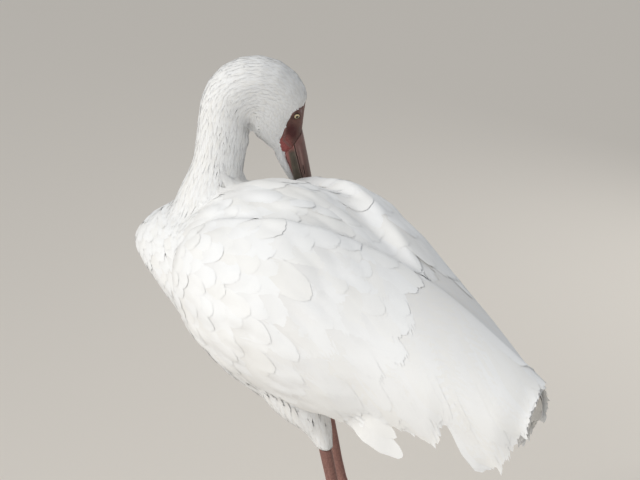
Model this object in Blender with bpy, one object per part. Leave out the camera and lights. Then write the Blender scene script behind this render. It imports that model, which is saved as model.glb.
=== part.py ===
"""A Siberian crane as a still, life-size model, preening over its right shoulder.

Metres, +Z up. The bird faces -Y and its left is +X. It is modelled about the point on the
ground below the middle of its body, and at the end everything is set square on the origin.
Feathered parts reach out to the tips of their feathers.
"""

import math

import bmesh
import bpy
import numpy as np
from mathutils import Vector
from mathutils.geometry import interpolate_bezier

UP = Vector((0, 0, 1))
FORWARD = Vector((0, -1, 0))
LEFT = Vector((1, 0, 0))
SIDES = {"left": 1, "right": -1}

CLEARANCE = 0.0003  # between solids that touch

# Trunk, from the rump to the breast: y, top, bottom, half width
TRUNK = (
    (0.240, 0.612, 0.612, 0.000),
    (0.205, 0.640, 0.566, 0.044),
    (0.150, 0.672, 0.530, 0.072),
    (0.080, 0.706, 0.490, 0.098),
    (0.010, 0.732, 0.461, 0.116),
    (-0.060, 0.732, 0.473, 0.112),
    (-0.130, 0.696, 0.530, 0.087),
    (-0.190, 0.680, 0.578, 0.063),
    (-0.222, 0.656, 0.608, 0.038),
    (-0.236, 0.632, 0.632, 0.000),
)
TRUNK_KEEL = 0.26  # how much the underside draws in
TRUNK_RINGS = 19
TRUNK_SIDES = 24

# Neck and head follow one line: up out of the breast, over an arch, and down to the bill
NECK_ROOT = Vector((-0.005, -0.133, 0.640))
NECK_COLUMN_TOP = Vector((-0.0165, -0.1165, 0.802))
BILL_BASE = Vector((-0.086, -0.068, 0.758))
BILL_DIRECTION = Vector((-0.34, -0.02, -0.94)).normalized()
ARCH_END = BILL_BASE - BILL_DIRECTION * 0.050
CROWN_DIRECTION = Vector((-0.536, 0.832, 0.142))
NECK_ROOT_PULL = 0.055  # lengths of the curve's handles
ARCH_PULL = 0.046
# Distance back from the bill's base, half width, crown side, throat side, and how far the
# throat lies back (or, below zero, ahead) of its section, to fan out from the arch's corner
NECK = (
    (0.000, 0.0125, 0.0125, 0.0165, -0.0173),
    (0.012, 0.0165, 0.0180, 0.0230, -0.0270),
    (0.025, 0.0200, 0.0225, 0.0300, -0.0325),
    (0.045, 0.0240, 0.0270, 0.0385, -0.0400),
    (0.065, 0.0265, 0.0290, 0.0530, -0.0270),
    (0.085, 0.0282, 0.0298, 0.0560, -0.0050),
    (0.106, 0.0293, 0.0300, 0.0500, 0.0085),
    (0.130, 0.0300, 0.0300, 0.0430, 0.0240),
    (0.150, 0.0300, 0.0300, 0.0360, 0.0310),
    (0.170, 0.0300, 0.0300, 0.0318, 0.0290),
    (0.200, 0.0298, 0.0300, 0.0310, 0.0160),
    (0.225, 0.0305, 0.0305, 0.0310, 0.0040),
    (0.260, 0.0390, 0.0420, 0.0390, 0.0000),
    (0.300, 0.0510, 0.0550, 0.0540, 0.0000),
    (0.340, 0.0600, 0.0600, 0.0680, 0.0000),
)
BILL_SLANT = 1.05  # of the bill's base
# Rear edge of the bare face: raise from the head's line, distance back from the bill's base
FACE_EDGE = (
    (-0.0310, -0.0020),
    (-0.0150, 0.0060),
    (-0.0091, 0.0260),
    (-0.0031, 0.0345),
    (0.0022, 0.0425),
    (0.0110, 0.0505),
    (0.0182, 0.0510),
    (0.0260, 0.0500),
)
NECK_SIDES = 18
RING_SPACING = 0.0125
LINE_STEP = 0.004  # over which the line's direction is taken
FACE_BACK = 0.030  # distances back from the bill's base of the seams
HEAD_BACK = 0.086
TWIST = (0.028, 0.075)  # over which the arch turns to meet the crown
FACE_FADE = 0.065  # where the bare face's seam no longer bends the sections
NECK_SEAMS = (0.150, 0.215)

EYE_RADIUS = 0.0068
EYE_BACK = 0.0464
EYE_RAISE = 0.0114
EYE_OUT = 0.0155

# Bill: distance ahead of its base, half width, height above and depth below the gape line
BILL = (
    (0.000, 0.0125, 0.0120, 0.0150),
    (0.030, 0.0105, 0.0110, 0.0125),
    (0.070, 0.0085, 0.0095, 0.0092),
    (0.110, 0.0066, 0.0080, 0.0066),
    (0.145, 0.0046, 0.0058, 0.0042),
    (0.166, 0.0026, 0.0034, 0.0022),
)
BILL_TIP = 0.173
BILL_SQUARE = 0.030  # distance ahead where the slant has gone
BILL_SEAT = 0.0015  # how far the bill starts inside the face, before it is cut back
BILL_RINGS = 12
BILL_SIDES = 8  # of each mandible's arc
GAPE = 0.0004  # half the gap between the mandibles

# Chin feathers under the lower mandible: distance ahead, half width, depth below the gape line
CHIN = (
    (0.002, 0.0115, 0.0278),
    (0.018, 0.0095, 0.0245),
    (0.038, 0.0068, 0.0190),
    (0.054, 0.0030, 0.0135),
)

# Folded wing, a curved shell over the trunk: y, half width out to it, top of its curve,
# height of its widest line, bottom of its curve, thickness, upper edge in degrees, and how
# far the curve's shoulder falls in towards a straight slope
WING = (
    (-0.112, 0.092, 0.702, 0.640, 0.540, 0.006, 24, 1.0),
    (-0.095, 0.111, 0.725, 0.638, 0.510, 0.014, 38, 1.0),
    (-0.060, 0.129, 0.748, 0.632, 0.490, 0.020, 48, 1.0),
    (-0.010, 0.139, 0.758, 0.624, 0.480, 0.023, 54, 1.0),
    (0.040, 0.138, 0.754, 0.616, 0.470, 0.024, 62, 1.0),
    (0.100, 0.124, 0.724, 0.604, 0.460, 0.021, 72, 1.1),
    (0.160, 0.104, 0.690, 0.590, 0.450, 0.017, 84, 1.2),
    (0.215, 0.088, 0.661, 0.575, 0.440, 0.013, 88, 1.25),
    (0.265, 0.071, 0.630, 0.560, 0.440, 0.010, 88, 1.25),
    (0.300, 0.056, 0.606, 0.550, 0.440, 0.008, 88, 1.2),
    (0.318, 0.044, 0.590, 0.545, 0.440, 0.006, 86, 1.1),
)
# Lower edge of coverts and of the drooping, ragged tertials: y, height
WING_HEM = (
    (-0.112, 0.615),
    (-0.095, 0.580),
    (-0.060, 0.545),
    (-0.010, 0.520),
    (0.050, 0.506),
    (0.115, 0.506),
    (0.150, 0.538),
    (0.165, 0.537),
    (0.180, 0.527),
    (0.216, 0.520),
    (0.225, 0.510),
    (0.233, 0.546),
    (0.248, 0.545),
    (0.262, 0.537),
    (0.274, 0.522),
    (0.285, 0.496),
    (0.293, 0.508),
    (0.303, 0.540),
    (0.318, 0.556),
)
# The right wing's tertials are drawn in, and droop further: length, fall and lower hem
TERTIAL_LENGTH = {"left": 1.0, "right": 0.90}
TERTIAL_DROP = {"left": 0.0, "right": 0.018}
TERTIAL_HANG = {"left": 0.0, "right": 0.020}
WING_SEAM = 0.118  # where the coverts end and the long tertials start
WING_SPACING = 0.022
WING_STEPS = 11
MIDLINE_GAP = 0.0006

# Tail and the primaries, under the tertials: place, half width, half thickness
TAIL = (
    ((0.000, 0.190, 0.588), 0.030, 0.014),
    ((0.000, 0.235, 0.574), 0.034, 0.012),
    ((0.000, 0.272, 0.552), 0.032, 0.008),
    ((0.000, 0.292, 0.540), 0.024, 0.004),
)
PRIMARIES = (
    ((0.058, 0.170, 0.572), 0.0050, 0.014),
    ((0.052, 0.208, 0.562), 0.0045, 0.015),
    ((0.046, 0.242, 0.550), 0.0040, 0.012),
    ((0.041, 0.268, 0.541), 0.0025, 0.006),
)

# Legs. The right one stands further forward
LEG_OUT = 0.055
STRIDE = {"left": 0.0, "right": -0.080}
THIGH = (
    ((0.002, 0.575), 0.042, 0.055),
    ((0.024, 0.525), 0.038, 0.048),
    ((0.042, 0.494), 0.030, 0.035),
    ((0.064, 0.474), 0.016, 0.019),
    ((0.0755, 0.452), 0.0088, 0.0098),
)
HOCK = (0.116, 0.286)
ANKLE = (0.092, 0.020)
SHIN_START = (0.0757, 0.4515)
# Share of the way down, half width, half depth
SHIN = (
    (0.00, 0.0072, 0.0080),
    (0.35, 0.0066, 0.0075),
    (0.75, 0.0068, 0.0078),
    (0.92, 0.0105, 0.0125),
    (1.00, 0.0122, 0.0150),
)
TARSUS = (
    (0.00, 0.0122, 0.0150),
    (0.06, 0.0105, 0.0120),
    (0.18, 0.0062, 0.0078),
    (0.55, 0.0056, 0.0072),
    (0.86, 0.0060, 0.0074),
    (0.95, 0.0078, 0.0086),
    (1.00, 0.0086, 0.0092),
)
LEG_SIDES = 10

# Toes: degrees outward from forward, length, swellings at the joints
TOES = {
    "toe_middle": (0, 0.092, 4),
    "toe_inner": (-36, 0.066, 3),
    "toe_outer": (32, 0.076, 4),
}
TOE_BASE_RADIUS = 0.0068
TOE_TIP_RADIUS = 0.0042
TOE_RINGS = 10
TOE_SINK = 0.82  # height of the toe's middle over its radius, so that its sole is flat
TOE_ROUNDING = 0.35  # how much the tip draws in
HIND_TOE = (160, 0.022)
HIND_TOE_HEIGHT = 0.013
CLAW_LENGTH = 0.013
CLAW_RADIUS = 0.0028

# Colour, roughness
MATERIALS = {
    "plumage": ((0.86, 0.86, 0.84), 0.75),
    "bare_face": ((0.42, 0.07, 0.05), 0.55),
    "bill": ((0.30, 0.13, 0.10), 0.45),
    "eye": ((0.80, 0.66, 0.36), 0.10),
    "leg": ((0.50, 0.20, 0.18), 0.55),
    "claw": ((0.10, 0.07, 0.06), 0.40),
    "primary": ((0.03, 0.03, 0.03), 0.60),
}


# ---------------------------------------------------------------- scene and helpers


def clear_scene():
    for obj in list(bpy.data.objects):
        bpy.data.objects.remove(obj)


def new_collection(name, hidden=False):
    collection = bpy.data.collections.new(name)
    bpy.context.scene.collection.children.link(collection)
    collection.hide_render = hidden
    return collection


def make_material(name):
    colour, roughness = MATERIALS[name]
    material = bpy.data.materials.get(name) or bpy.data.materials.new(name)
    material.use_nodes = True
    shader = material.node_tree.nodes["Principled BSDF"]
    shader.inputs["Base Color"].default_value = (*colour, 1)
    shader.inputs["Roughness"].default_value = roughness
    return material


def smooth_row(rows, place):
    """The row of values at a place, on a smooth curve through rows that start with theirs."""
    table = np.array(sorted(rows), float)
    places, values = table[:, 0], table[:, 1:]
    slopes = np.gradient(values, places, axis=0)
    place = min(max(place, places[0]), places[-1])
    i = min(max(int(np.searchsorted(places, place)) - 1, 0), len(places) - 2)
    step = places[i + 1] - places[i]
    u = (place - places[i]) / step
    before = (1 + 2 * u) * (1 - u) ** 2 * values[i] + u * (1 - u) ** 2 * step * slopes[i]
    after = u * u * (3 - 2 * u) * values[i + 1] - u * u * (1 - u) * step * slopes[i + 1]
    return before + after


def section_frame(tangent, up_hint):
    """Across and up directions of a section square to the tangent."""
    across = tangent.cross(up_hint).normalized()
    return across, across.cross(tangent)


def oval(centre, across, up, half_width, above, below, sides, keel=0.0, turn=0.0):
    """A closed egg-shaped section, counted round from the across direction."""
    points = []
    for k in range(sides):
        angle = 2 * math.pi * (k + turn) / sides
        rise = math.sin(angle)
        height = above * rise if rise > 0 else below * rise
        reach = half_width * math.cos(angle) * (1 - keel * max(0, -rise))
        points.append(centre + across * reach + up * height)
    return points


def loft(name, rings, material):
    """A closed solid through rings of equally many points. A ring of one point is a pole."""
    mesh = bpy.data.meshes.new(name)
    shape = bmesh.new()
    made = [[shape.verts.new(point) for point in ring] for ring in rings]
    for near, far in zip(made, made[1:]):
        count = max(len(near), len(far))
        for k in range(count):
            corners = [near[k % len(near)], near[(k + 1) % len(near)]]
            corners += [far[(k + 1) % len(far)], far[k % len(far)]]
            shape.faces.new(dict.fromkeys(corners))
    for end in (made[0], made[-1]):
        if len(end) > 1:
            shape.faces.new(end)
    bmesh.ops.recalc_face_normals(shape, faces=shape.faces)
    shape.to_mesh(mesh)
    shape.free()
    obj = bpy.data.objects.new(name, mesh)
    obj.data.materials.append(make_material(material))
    PARTS.objects.link(obj)
    mesh.shade_smooth()
    mesh.set_sharp_from_angle(angle=math.radians(50))
    return obj


def cut(piece, *tools):
    """Cuts a piece back from its neighbours, each swollen by the clearance."""
    for tool in tools:
        cutter = tool.copy()
        cutter.name = f"cutter_{piece.name}_{tool.name}"
        CUTTERS.objects.link(cutter)
        cutter.hide_render = True
        cutter.display_type = "WIRE"
        swell = cutter.modifiers.new("swell", "DISPLACE")
        swell.strength = CLEARANCE
        swell.mid_level = 0
        boolean = piece.modifiers.new(f"clear_{tool.name}", "BOOLEAN")
        boolean.operation = "DIFFERENCE"
        boolean.object = cutter


def spread(first, last, count):
    """Evenly spaced values from first to last."""
    return [first + (last - first) * k / (count - 1) for k in range(count)]


# ---------------------------------------------------------------- trunk


def trunk_sizes(y):
    """Centre height, half width, height above and depth below it."""
    rear, front = TRUNK[0][0], TRUNK[-1][0]
    squares = [(row[0], ((row[1] - row[2]) / 2) ** 2, row[3] ** 2) for row in TRUNK]
    middles = [(row[0], (row[1] + row[2]) / 2) for row in TRUNK]
    half_height, half_width = np.sqrt(np.maximum(smooth_row(squares, y), 0))
    centre = smooth_row(middles, y)[0]
    assert front <= y <= rear
    return centre, half_width, half_height


def make_trunk():
    rear, front = TRUNK[0][0], TRUNK[-1][0]
    rings = [[Vector((0, rear, TRUNK[0][1]))]]
    for k in range(1, TRUNK_RINGS):
        share = (1 - math.cos(math.pi * k / TRUNK_RINGS)) / 2
        y = rear + (front - rear) * share
        centre, half_width, half_height = trunk_sizes(y)
        middle = Vector((0, y, centre))
        sizes = (half_width, half_height, half_height)
        rings.append(oval(middle, LEFT, UP, *sizes, TRUNK_SIDES, TRUNK_KEEL))
    rings.append([Vector((0, front, TRUNK[-1][1]))])
    return loft("trunk", rings, "plumage")


# ---------------------------------------------------------------- neck, head and bill


def neck_line():
    """Points of the line through neck and head, from the bill's base back to the root."""
    arch_start = (NECK_COLUMN_TOP - NECK_ROOT).normalized()
    head = [BILL_BASE.lerp(ARCH_END, k / 8) for k in range(8)]
    arch_handles = (ARCH_END - BILL_DIRECTION * ARCH_PULL, NECK_COLUMN_TOP + arch_start * ARCH_PULL)
    arch = interpolate_bezier(ARCH_END, *arch_handles, NECK_COLUMN_TOP, 40)
    column_handles = (NECK_COLUMN_TOP - arch_start * NECK_ROOT_PULL, NECK_ROOT + UP * NECK_ROOT_PULL)
    column = interpolate_bezier(NECK_COLUMN_TOP, *column_handles, NECK_ROOT, 30)
    return head + arch[:-1] + column


def along(line, distance):
    """Point at a distance along a line of points, or ahead of its start."""
    for start, end in zip(line, line[1:]):
        length = (end - start).length
        if distance <= length or end is line[-1]:
            return start.lerp(end, distance / length)
        distance -= length


def at_distance(line, distance):
    """Point and smoothed direction at a distance along a line of points."""
    ahead, behind = along(line, distance - LINE_STEP), along(line, distance + LINE_STEP)
    return along(line, distance), (behind - ahead).normalized()


def slant_shift(raise_, back, below, throat_back):
    """How far back a section's point lies from its centre, for its raise above the line."""
    raises, backs = zip(*FACE_EDGE)
    at_edge = float(np.interp(raise_, raises, backs)) - FACE_BACK
    if back < FACE_BACK:
        other = BILL_SLANT * raise_
        share = back / FACE_BACK
    else:
        other = throat_back * max(0, -raise_) / below
        share = max(0, 1 - (back - FACE_BACK) / (FACE_FADE - FACE_BACK))
    return at_edge * share + other * (1 - share)


def neck_ring(line, back):
    """Section of neck or head at a distance back from the bill's base, and its centre."""
    centre, tangent = at_distance(line, back)
    half_width, above, below, throat_back = smooth_row(NECK, back)
    across, outward = section_frame(tangent, arch_outward(line, back))
    ring = [centre, *oval(centre, across, outward, half_width, above, below, NECK_SIDES)]
    for k, point in enumerate(ring):
        raise_ = (point - centre).dot(outward)
        ring[k] = point + tangent * slant_shift(raise_, back, below, throat_back)
    return ring[1:], ring[:1]


def arch_outward(line, back):
    """Outer side of the arch, turning to the crown's own direction on the head."""
    middle = (NECK_COLUMN_TOP + ARCH_END) / 2
    centre, tangent = at_distance(line, back)
    outward = centre - middle
    outward = (outward - tangent * outward.dot(tangent)).normalized()
    share = min(max((back - TWIST[0]) / (TWIST[1] - TWIST[0]), 0), 1)
    return CROWN_DIRECTION.lerp(outward, share * share * (3 - 2 * share))


def neck_piece(name, line, first, last, material="plumage"):
    """A length of neck or head between two seams."""
    first, last = first + CLEARANCE / 2, last - CLEARANCE / 2
    count = max(3, round((last - first) / RING_SPACING) + 1)
    sections = [neck_ring(line, back) for back in spread(first, last, count)]
    rings = [ring for ring, _ in sections]
    return loft(name, [sections[0][1], *rings, sections[-1][1]], material)


def head_point(back, raise_, out):
    """A point in the head: back from the bill's base, towards the crown, and to its left."""
    across = BILL_DIRECTION.cross(CROWN_DIRECTION).normalized()
    crown = across.cross(BILL_DIRECTION)
    return BILL_BASE - BILL_DIRECTION * back + crown * raise_ - across * out


def make_eye(side, *flesh):
    place = head_point(EYE_BACK, EYE_RAISE, EYE_OUT * SIDES[side])
    mesh = bpy.data.meshes.new(f"eye_{side}")
    shape = bmesh.new()
    bmesh.ops.create_uvsphere(shape, u_segments=12, v_segments=8, radius=EYE_RADIUS)
    shape.to_mesh(mesh)
    shape.free()
    eye = bpy.data.objects.new(f"eye_{side}", mesh)
    eye.location = place
    eye.rotation_euler = (head_point(0, 0, SIDES[side]) - BILL_BASE).to_track_quat("Z", "Y").to_euler()
    mesh.materials.append(make_material("eye"))
    mesh.shade_smooth()
    PARTS.objects.link(eye)
    for piece in flesh:
        cut(piece, eye)


def bill_arc(ahead, upper):
    """Half section of a mandible, with its flat side on the gape line."""
    half_width, above, below = smooth_row(BILL, ahead)
    height = above if upper else -below
    gap = GAPE if upper else -GAPE
    points = []
    for k in range(BILL_SIDES + 1):
        angle = math.pi * k / BILL_SIDES
        raise_ = gap + height * math.sin(angle) ** 0.8
        back = BILL_SLANT * raise_ * max(0, 1 - ahead / BILL_SQUARE) - ahead
        points.append(head_point(back, raise_, half_width * math.cos(angle)))
    return points


def make_mandible(name, upper, face):
    places = spread(-BILL_SEAT, BILL[-1][0], BILL_RINGS)
    rings = [bill_arc(ahead, upper) for ahead in places]
    rings.append([head_point(-BILL_TIP, GAPE if upper else -GAPE, 0)])
    mandible = loft(name, rings, "bill")
    cut(mandible, face)
    return mandible


def make_chin(*neighbours):
    rings = []
    for ahead in spread(CHIN[0][0], CHIN[-1][0], 7):
        half_width, depth = smooth_row(CHIN, ahead)
        half_height = depth * 0.32
        centre = head_point(-ahead, half_height - depth, 0)
        across = head_point(-ahead, half_height - depth, 1) - centre
        crown = head_point(-ahead, half_height - depth + 1, 0) - centre
        rings.append(oval(centre, across, crown, half_width, half_height, half_height, 10))
    chin = loft("chin", rings, "plumage")
    cut(chin, *neighbours)


def make_neck_and_head(trunk):
    line = neck_line()
    whole = sum((end - start).length for start, end in zip(line, line[1:]))
    face = neck_piece("face", line, 0, FACE_BACK, "bare_face")
    head = neck_piece("head", line, FACE_BACK, HEAD_BACK)
    neck_piece("neck_upper", line, HEAD_BACK, NECK_SEAMS[0])
    neck_piece("neck_middle", line, NECK_SEAMS[0], NECK_SEAMS[1])
    base = neck_piece("neck_base", line, NECK_SEAMS[1], whole)
    cut(base, trunk)
    upper = make_mandible("bill_upper", True, face)
    lower = make_mandible("bill_lower", False, face)
    make_chin(lower, face, head)
    for side in SIDES:
        make_eye(side, face, head)
    return [upper, lower]


# ---------------------------------------------------------------- wings and tail


def hem_height(y):
    places, heights = zip(*WING_HEM)
    return float(np.interp(y, places, heights))


def tertial_share(y):
    """How far behind the seam a place is, as a share of the tertials' length."""
    return max(0, y - WING_SEAM) / (WING[-1][0] - WING_SEAM)


def wing_ring(y, side):
    """Section of the folded wing's shell: its outer curve down, then its inner curve up."""
    half_width, top, widest, bottom, thickness, upper, slope = smooth_row(WING, y)
    hem = hem_height(y) - TERTIAL_HANG[side] * tertial_share(y)
    drop = (widest - hem) / (widest - bottom)
    lower = -math.degrees(math.asin(min(drop, 1)))
    outer, inner = [], []
    for k in range(WING_STEPS):
        share = k / (WING_STEPS - 1)
        angle = math.radians(upper + (lower - upper) * share)
        edge = math.sin(math.pi * (0.08 + 0.84 * share)) ** 0.5
        for points, inset in ((outer, thickness * (1 - edge)), (inner, thickness)):
            reach = top - widest if angle > 0 else widest - bottom
            power = slope if angle > 0 else 1
            x = max((half_width - inset) * math.cos(angle) ** power, MIDLINE_GAP)
            z = widest + (reach - inset) * math.sin(angle)
            points.append(Vector((x * SIDES[side], y, z)))
    return outer + inner[::-1]


def droop(ring, side):
    """Draws a ring behind the seam in and down by that wing's own share."""
    behind = max(0, ring[0].y - WING_SEAM)
    fall = TERTIAL_DROP[side] * tertial_share(ring[0].y)
    inward = behind * (1 - TERTIAL_LENGTH[side])
    return [point + FORWARD * inward - UP * fall for point in ring]


def make_wing(side, *neighbours):
    """Coverts and tertials of one folded wing, parted at a seam and cut back from the trunk."""
    front, rear = WING[0][0], WING[-1][0]
    coverts_end, tertials_start = WING_SEAM - CLEARANCE / 2, WING_SEAM + CLEARANCE / 2
    count = round((WING_SEAM - front) / WING_SPACING)
    tips = [y for y, _ in WING_HEM if tertials_start + 0.01 < y < rear - 0.002]
    places = {
        f"wing_{side}": spread(front, coverts_end, count),
        f"tertials_{side}": [tertials_start, *tips, rear],
    }
    wing = []
    for name, rings_at in places.items():
        rings = [droop(wing_ring(y, side), side) for y in rings_at]
        wing.append(loft(name, rings, "plumage"))
        cut(wing[-1], *neighbours)
    return wing


def blade(name, stations, side, material, sides=10):
    """A flattened piece along its stations: place, half width in X, half height."""
    rows = [(k, *place, width, height) for k, (place, width, height) in enumerate(stations)]
    rings = []
    for k in spread(0, len(stations) - 1, 3 * len(stations)):
        x, y, z, half_width, half_height = smooth_row(rows, k)
        ahead = Vector(smooth_row(rows, k + 0.01)[:3]) - Vector(smooth_row(rows, k - 0.01)[:3])
        ahead.x *= side
        across, up = section_frame(ahead.normalized(), UP)
        centre = Vector((x * side, y, z))
        rings.append(oval(centre, across, up, half_width, half_height, half_height, sides))
    return loft(name, rings, material)


def make_tail(trunk):
    tail = blade("tail", TAIL, 1, "plumage", sides=14)
    cut(tail, trunk)
    for side, sign in SIDES.items():
        primaries = blade(f"primaries_{side}", PRIMARIES, sign, "primary")
        cut(primaries, trunk)


# ---------------------------------------------------------------- legs and feet


def leg_place(side, point):
    """A point of the leg's own plane: y and height, at that leg's stride."""
    y, z = point
    return Vector((LEG_OUT * SIDES[side], y + STRIDE[side], z))


def make_thigh(side, *neighbours):
    rows = [(k, *place, width, depth) for k, (place, width, depth) in enumerate(THIGH)]
    rings = []
    for k in spread(0, len(THIGH) - 1, 10):
        y, z, half_width, half_depth = smooth_row(rows, k)
        centre = leg_place(side, (y, z))
        rings.append(oval(centre, LEFT, FORWARD, half_width, half_depth, half_depth, 14))
    thigh = loft(f"thigh_{side}", rings, "plumage")
    cut(thigh, *neighbours)


def make_bone_length(name, top, bottom, rows, count):
    """A straight length of bare leg, with level ends."""
    rings = []
    for share in spread(0, 1, count):
        half_width, half_depth = smooth_row(rows, share)
        centre = top.lerp(bottom, share)
        rings.append(oval(centre, LEFT, FORWARD, half_width, half_depth, half_depth, LEG_SIDES))
    return loft(name, rings, "leg")


def flat_tube(name, start, direction, length, radii, bumps, rings, material, ground=True):
    """A toe or claw lying along a direction, with a flat sole at the floor's level."""
    across, up = section_frame(direction, UP)
    made = []
    for share in spread(0, 1, rings):
        radius = radii[0] + (radii[1] - radii[0]) * share
        radius *= 1 + 0.10 * math.cos(2 * math.pi * share * bumps) - TOE_ROUNDING * share**12
        centre = start + direction * length * share
        if ground:
            centre.z = radius * TOE_SINK
        ring = oval(centre, across, up, radius, radius, radius, 8, turn=0.5)
        for point in ring:
            point.z = max(point.z, 0.0) if ground else point.z
        made.append(ring)
    return loft(name, made, material)


def make_claw(name, start, direction):
    """A short curved claw ahead of a toe."""
    across, up = section_frame(direction, UP)
    rings = []
    for share in (0.0, 0.3, 0.6, 0.85):
        radius = CLAW_RADIUS * (1 - share) ** 0.7
        drop = CLAW_LENGTH * 0.16 * share**2
        centre = start + direction * CLAW_LENGTH * share - up * drop
        rings.append(oval(centre, across, up, radius * 0.8, radius, radius, 6))
    rings.append([start + direction * CLAW_LENGTH - up * CLAW_LENGTH * 0.16])
    return loft(name, rings, "claw")


def toe_direction(side, degrees):
    angle = math.radians(degrees)
    return Vector((math.sin(angle) * SIDES[side], -math.cos(angle), 0))


def make_foot(side, pad):
    """Three front toes flat on the floor, and a short hind toe raised behind."""
    ankle = leg_place(side, ANKLE)
    ground = Vector((ankle.x, ankle.y, 0))
    foot = [pad]
    for toe, (degrees, length, joints) in TOES.items():
        direction = toe_direction(side, degrees)
        radii = (TOE_BASE_RADIUS, TOE_TIP_RADIUS)
        solid = flat_tube(f"{toe}_{side}", ground, direction, length, radii, joints, TOE_RINGS, "leg")
        cut(solid, *foot)
        foot.append(solid)
        claw_start = ground + direction * (length + CLEARANCE) + UP * TOE_TIP_RADIUS * 1.05
        make_claw(f"claw_{toe[4:]}_{side}", claw_start, direction)
    degrees, length = HIND_TOE
    direction = toe_direction(side, degrees)
    start = ground + UP * HIND_TOE_HEIGHT
    sloped = (direction - UP * 0.18).normalized()
    radii = (TOE_TIP_RADIUS, TOE_TIP_RADIUS * 0.8)
    solid = flat_tube(f"toe_hind_{side}", start, sloped, length, radii, 1, 5, "leg", ground=False)
    cut(solid, *foot)
    make_claw(f"claw_hind_{side}", start + sloped * (length + CLEARANCE), sloped)


def make_leg(side, *neighbours):
    make_thigh(side, *neighbours)
    hock = leg_place(side, HOCK)
    gap = UP * CLEARANCE / 2
    make_bone_length(f"shin_{side}", leg_place(side, SHIN_START), hock + gap, SHIN, 8)
    ankle = leg_place(side, ANKLE)
    sole = Vector((ankle.x, ankle.y, 0))
    tarsus_bottom = ankle.lerp(sole, 0.55)
    tarsus = make_bone_length(f"tarsus_{side}", hock - gap, tarsus_bottom, TARSUS, 12)
    make_foot(side, tarsus)


# ---------------------------------------------------------------- whole bird


def set_on_origin():
    """Moves the bird so that its box stands centred on the origin."""
    bpy.context.view_layer.update()
    corners = []
    graph = bpy.context.evaluated_depsgraph_get()
    for obj in PARTS.objects:
        evaluated = obj.evaluated_get(graph)
        corners += [evaluated.matrix_world @ Vector(corner) for corner in evaluated.bound_box]
    low = Vector(map(min, *corners))
    high = Vector(map(max, *corners))
    shift = Vector(((low.x + high.x) / 2, (low.y + high.y) / 2, low.z))
    for obj in list(PARTS.objects) + list(CUTTERS.objects):
        obj.location -= shift


clear_scene()
PARTS = new_collection("siberian_crane")
CUTTERS = new_collection("cutters", hidden=True)
body = make_trunk()
bill = make_neck_and_head(body)
wings = {"left": make_wing("left", body), "right": make_wing("right", body, *bill)}
make_tail(body)
for leg_side in SIDES:
    make_leg(leg_side, body, *wings[leg_side])
set_on_origin()
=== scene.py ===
"""Looks of a Siberian crane that stands preening over its right shoulder.

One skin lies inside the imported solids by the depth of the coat. Feathers are closed mesh
vanes that lie along the body: short ones on head and neck, scallops on the breast, ordered
rows on the wings, and long drooping tertials. Metres; the bird faces -Y, its left is +X.
"""

import itertools
import math

import bmesh
import bpy
import numpy as np
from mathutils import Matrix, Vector, noise as cells
from mathutils.bvhtree import BVHTree
from mathutils.geometry import interpolate_bezier


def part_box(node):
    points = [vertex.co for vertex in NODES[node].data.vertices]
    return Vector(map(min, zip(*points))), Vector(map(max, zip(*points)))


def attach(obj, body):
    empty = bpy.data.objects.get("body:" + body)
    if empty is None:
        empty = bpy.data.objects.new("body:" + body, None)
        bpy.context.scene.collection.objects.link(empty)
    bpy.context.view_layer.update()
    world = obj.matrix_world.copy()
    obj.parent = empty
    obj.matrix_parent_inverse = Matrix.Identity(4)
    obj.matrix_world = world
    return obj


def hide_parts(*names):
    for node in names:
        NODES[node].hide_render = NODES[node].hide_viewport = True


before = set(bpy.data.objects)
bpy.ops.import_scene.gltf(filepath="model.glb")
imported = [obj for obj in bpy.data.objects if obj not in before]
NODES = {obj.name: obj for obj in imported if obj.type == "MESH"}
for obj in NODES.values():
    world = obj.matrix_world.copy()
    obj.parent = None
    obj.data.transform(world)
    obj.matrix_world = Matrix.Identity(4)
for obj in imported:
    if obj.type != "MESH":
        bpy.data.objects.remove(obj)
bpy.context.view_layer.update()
RANDOM = np.random.default_rng(11)
UP = Vector((0, 0, 1))
SIDES = {"left": 1, "right": -1}

# ---- the bird's own frame

TRUNK_LOW, TRUNK_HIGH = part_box("trunk")
TRUNK_MIDDLE_Y = 0.002  # of the trunk, where the bird's own frame has its origin
SHIFT = Vector(
    ((TRUNK_LOW.x + TRUNK_HIGH.x) / 2, (TRUNK_LOW.y + TRUNK_HIGH.y) / 2 - TRUNK_MIDDLE_Y, 0)
)

NECK_ROOT = Vector((-0.005, -0.133, 0.640)) + SHIFT
NECK_COLUMN_TOP = Vector((-0.0165, -0.1165, 0.802)) + SHIFT
BILL_BASE = Vector((-0.086, -0.068, 0.758)) + SHIFT
BILL_DIRECTION = Vector((-0.34, -0.02, -0.94)).normalized()
ARCH_END = BILL_BASE - BILL_DIRECTION * 0.050
ARCH_HANDLE, COLUMN_HANDLE = 0.046, 0.055
CROWN_HINT = Vector((-0.536, 0.832, 0.142))
HEAD_ACROSS = BILL_DIRECTION.cross(CROWN_HINT).normalized()
HEAD_CROWN = HEAD_ACROSS.cross(BILL_DIRECTION)


def neck_line():
    """Points of the line through head and neck, from the bill's base back to the breast."""
    rise = (NECK_COLUMN_TOP - NECK_ROOT).normalized()
    head = [BILL_BASE.lerp(ARCH_END, k / 8) for k in range(8)]
    handles = (ARCH_END - BILL_DIRECTION * ARCH_HANDLE, NECK_COLUMN_TOP + rise * ARCH_HANDLE)
    arch = interpolate_bezier(ARCH_END, *handles, NECK_COLUMN_TOP, 40)
    handles = (NECK_COLUMN_TOP - rise * COLUMN_HANDLE, NECK_ROOT + UP * COLUMN_HANDLE)
    column = interpolate_bezier(NECK_COLUMN_TOP, *handles, NECK_ROOT, 30)
    return np.array([tuple(point) for point in head + arch[:-1] + column])


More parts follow.
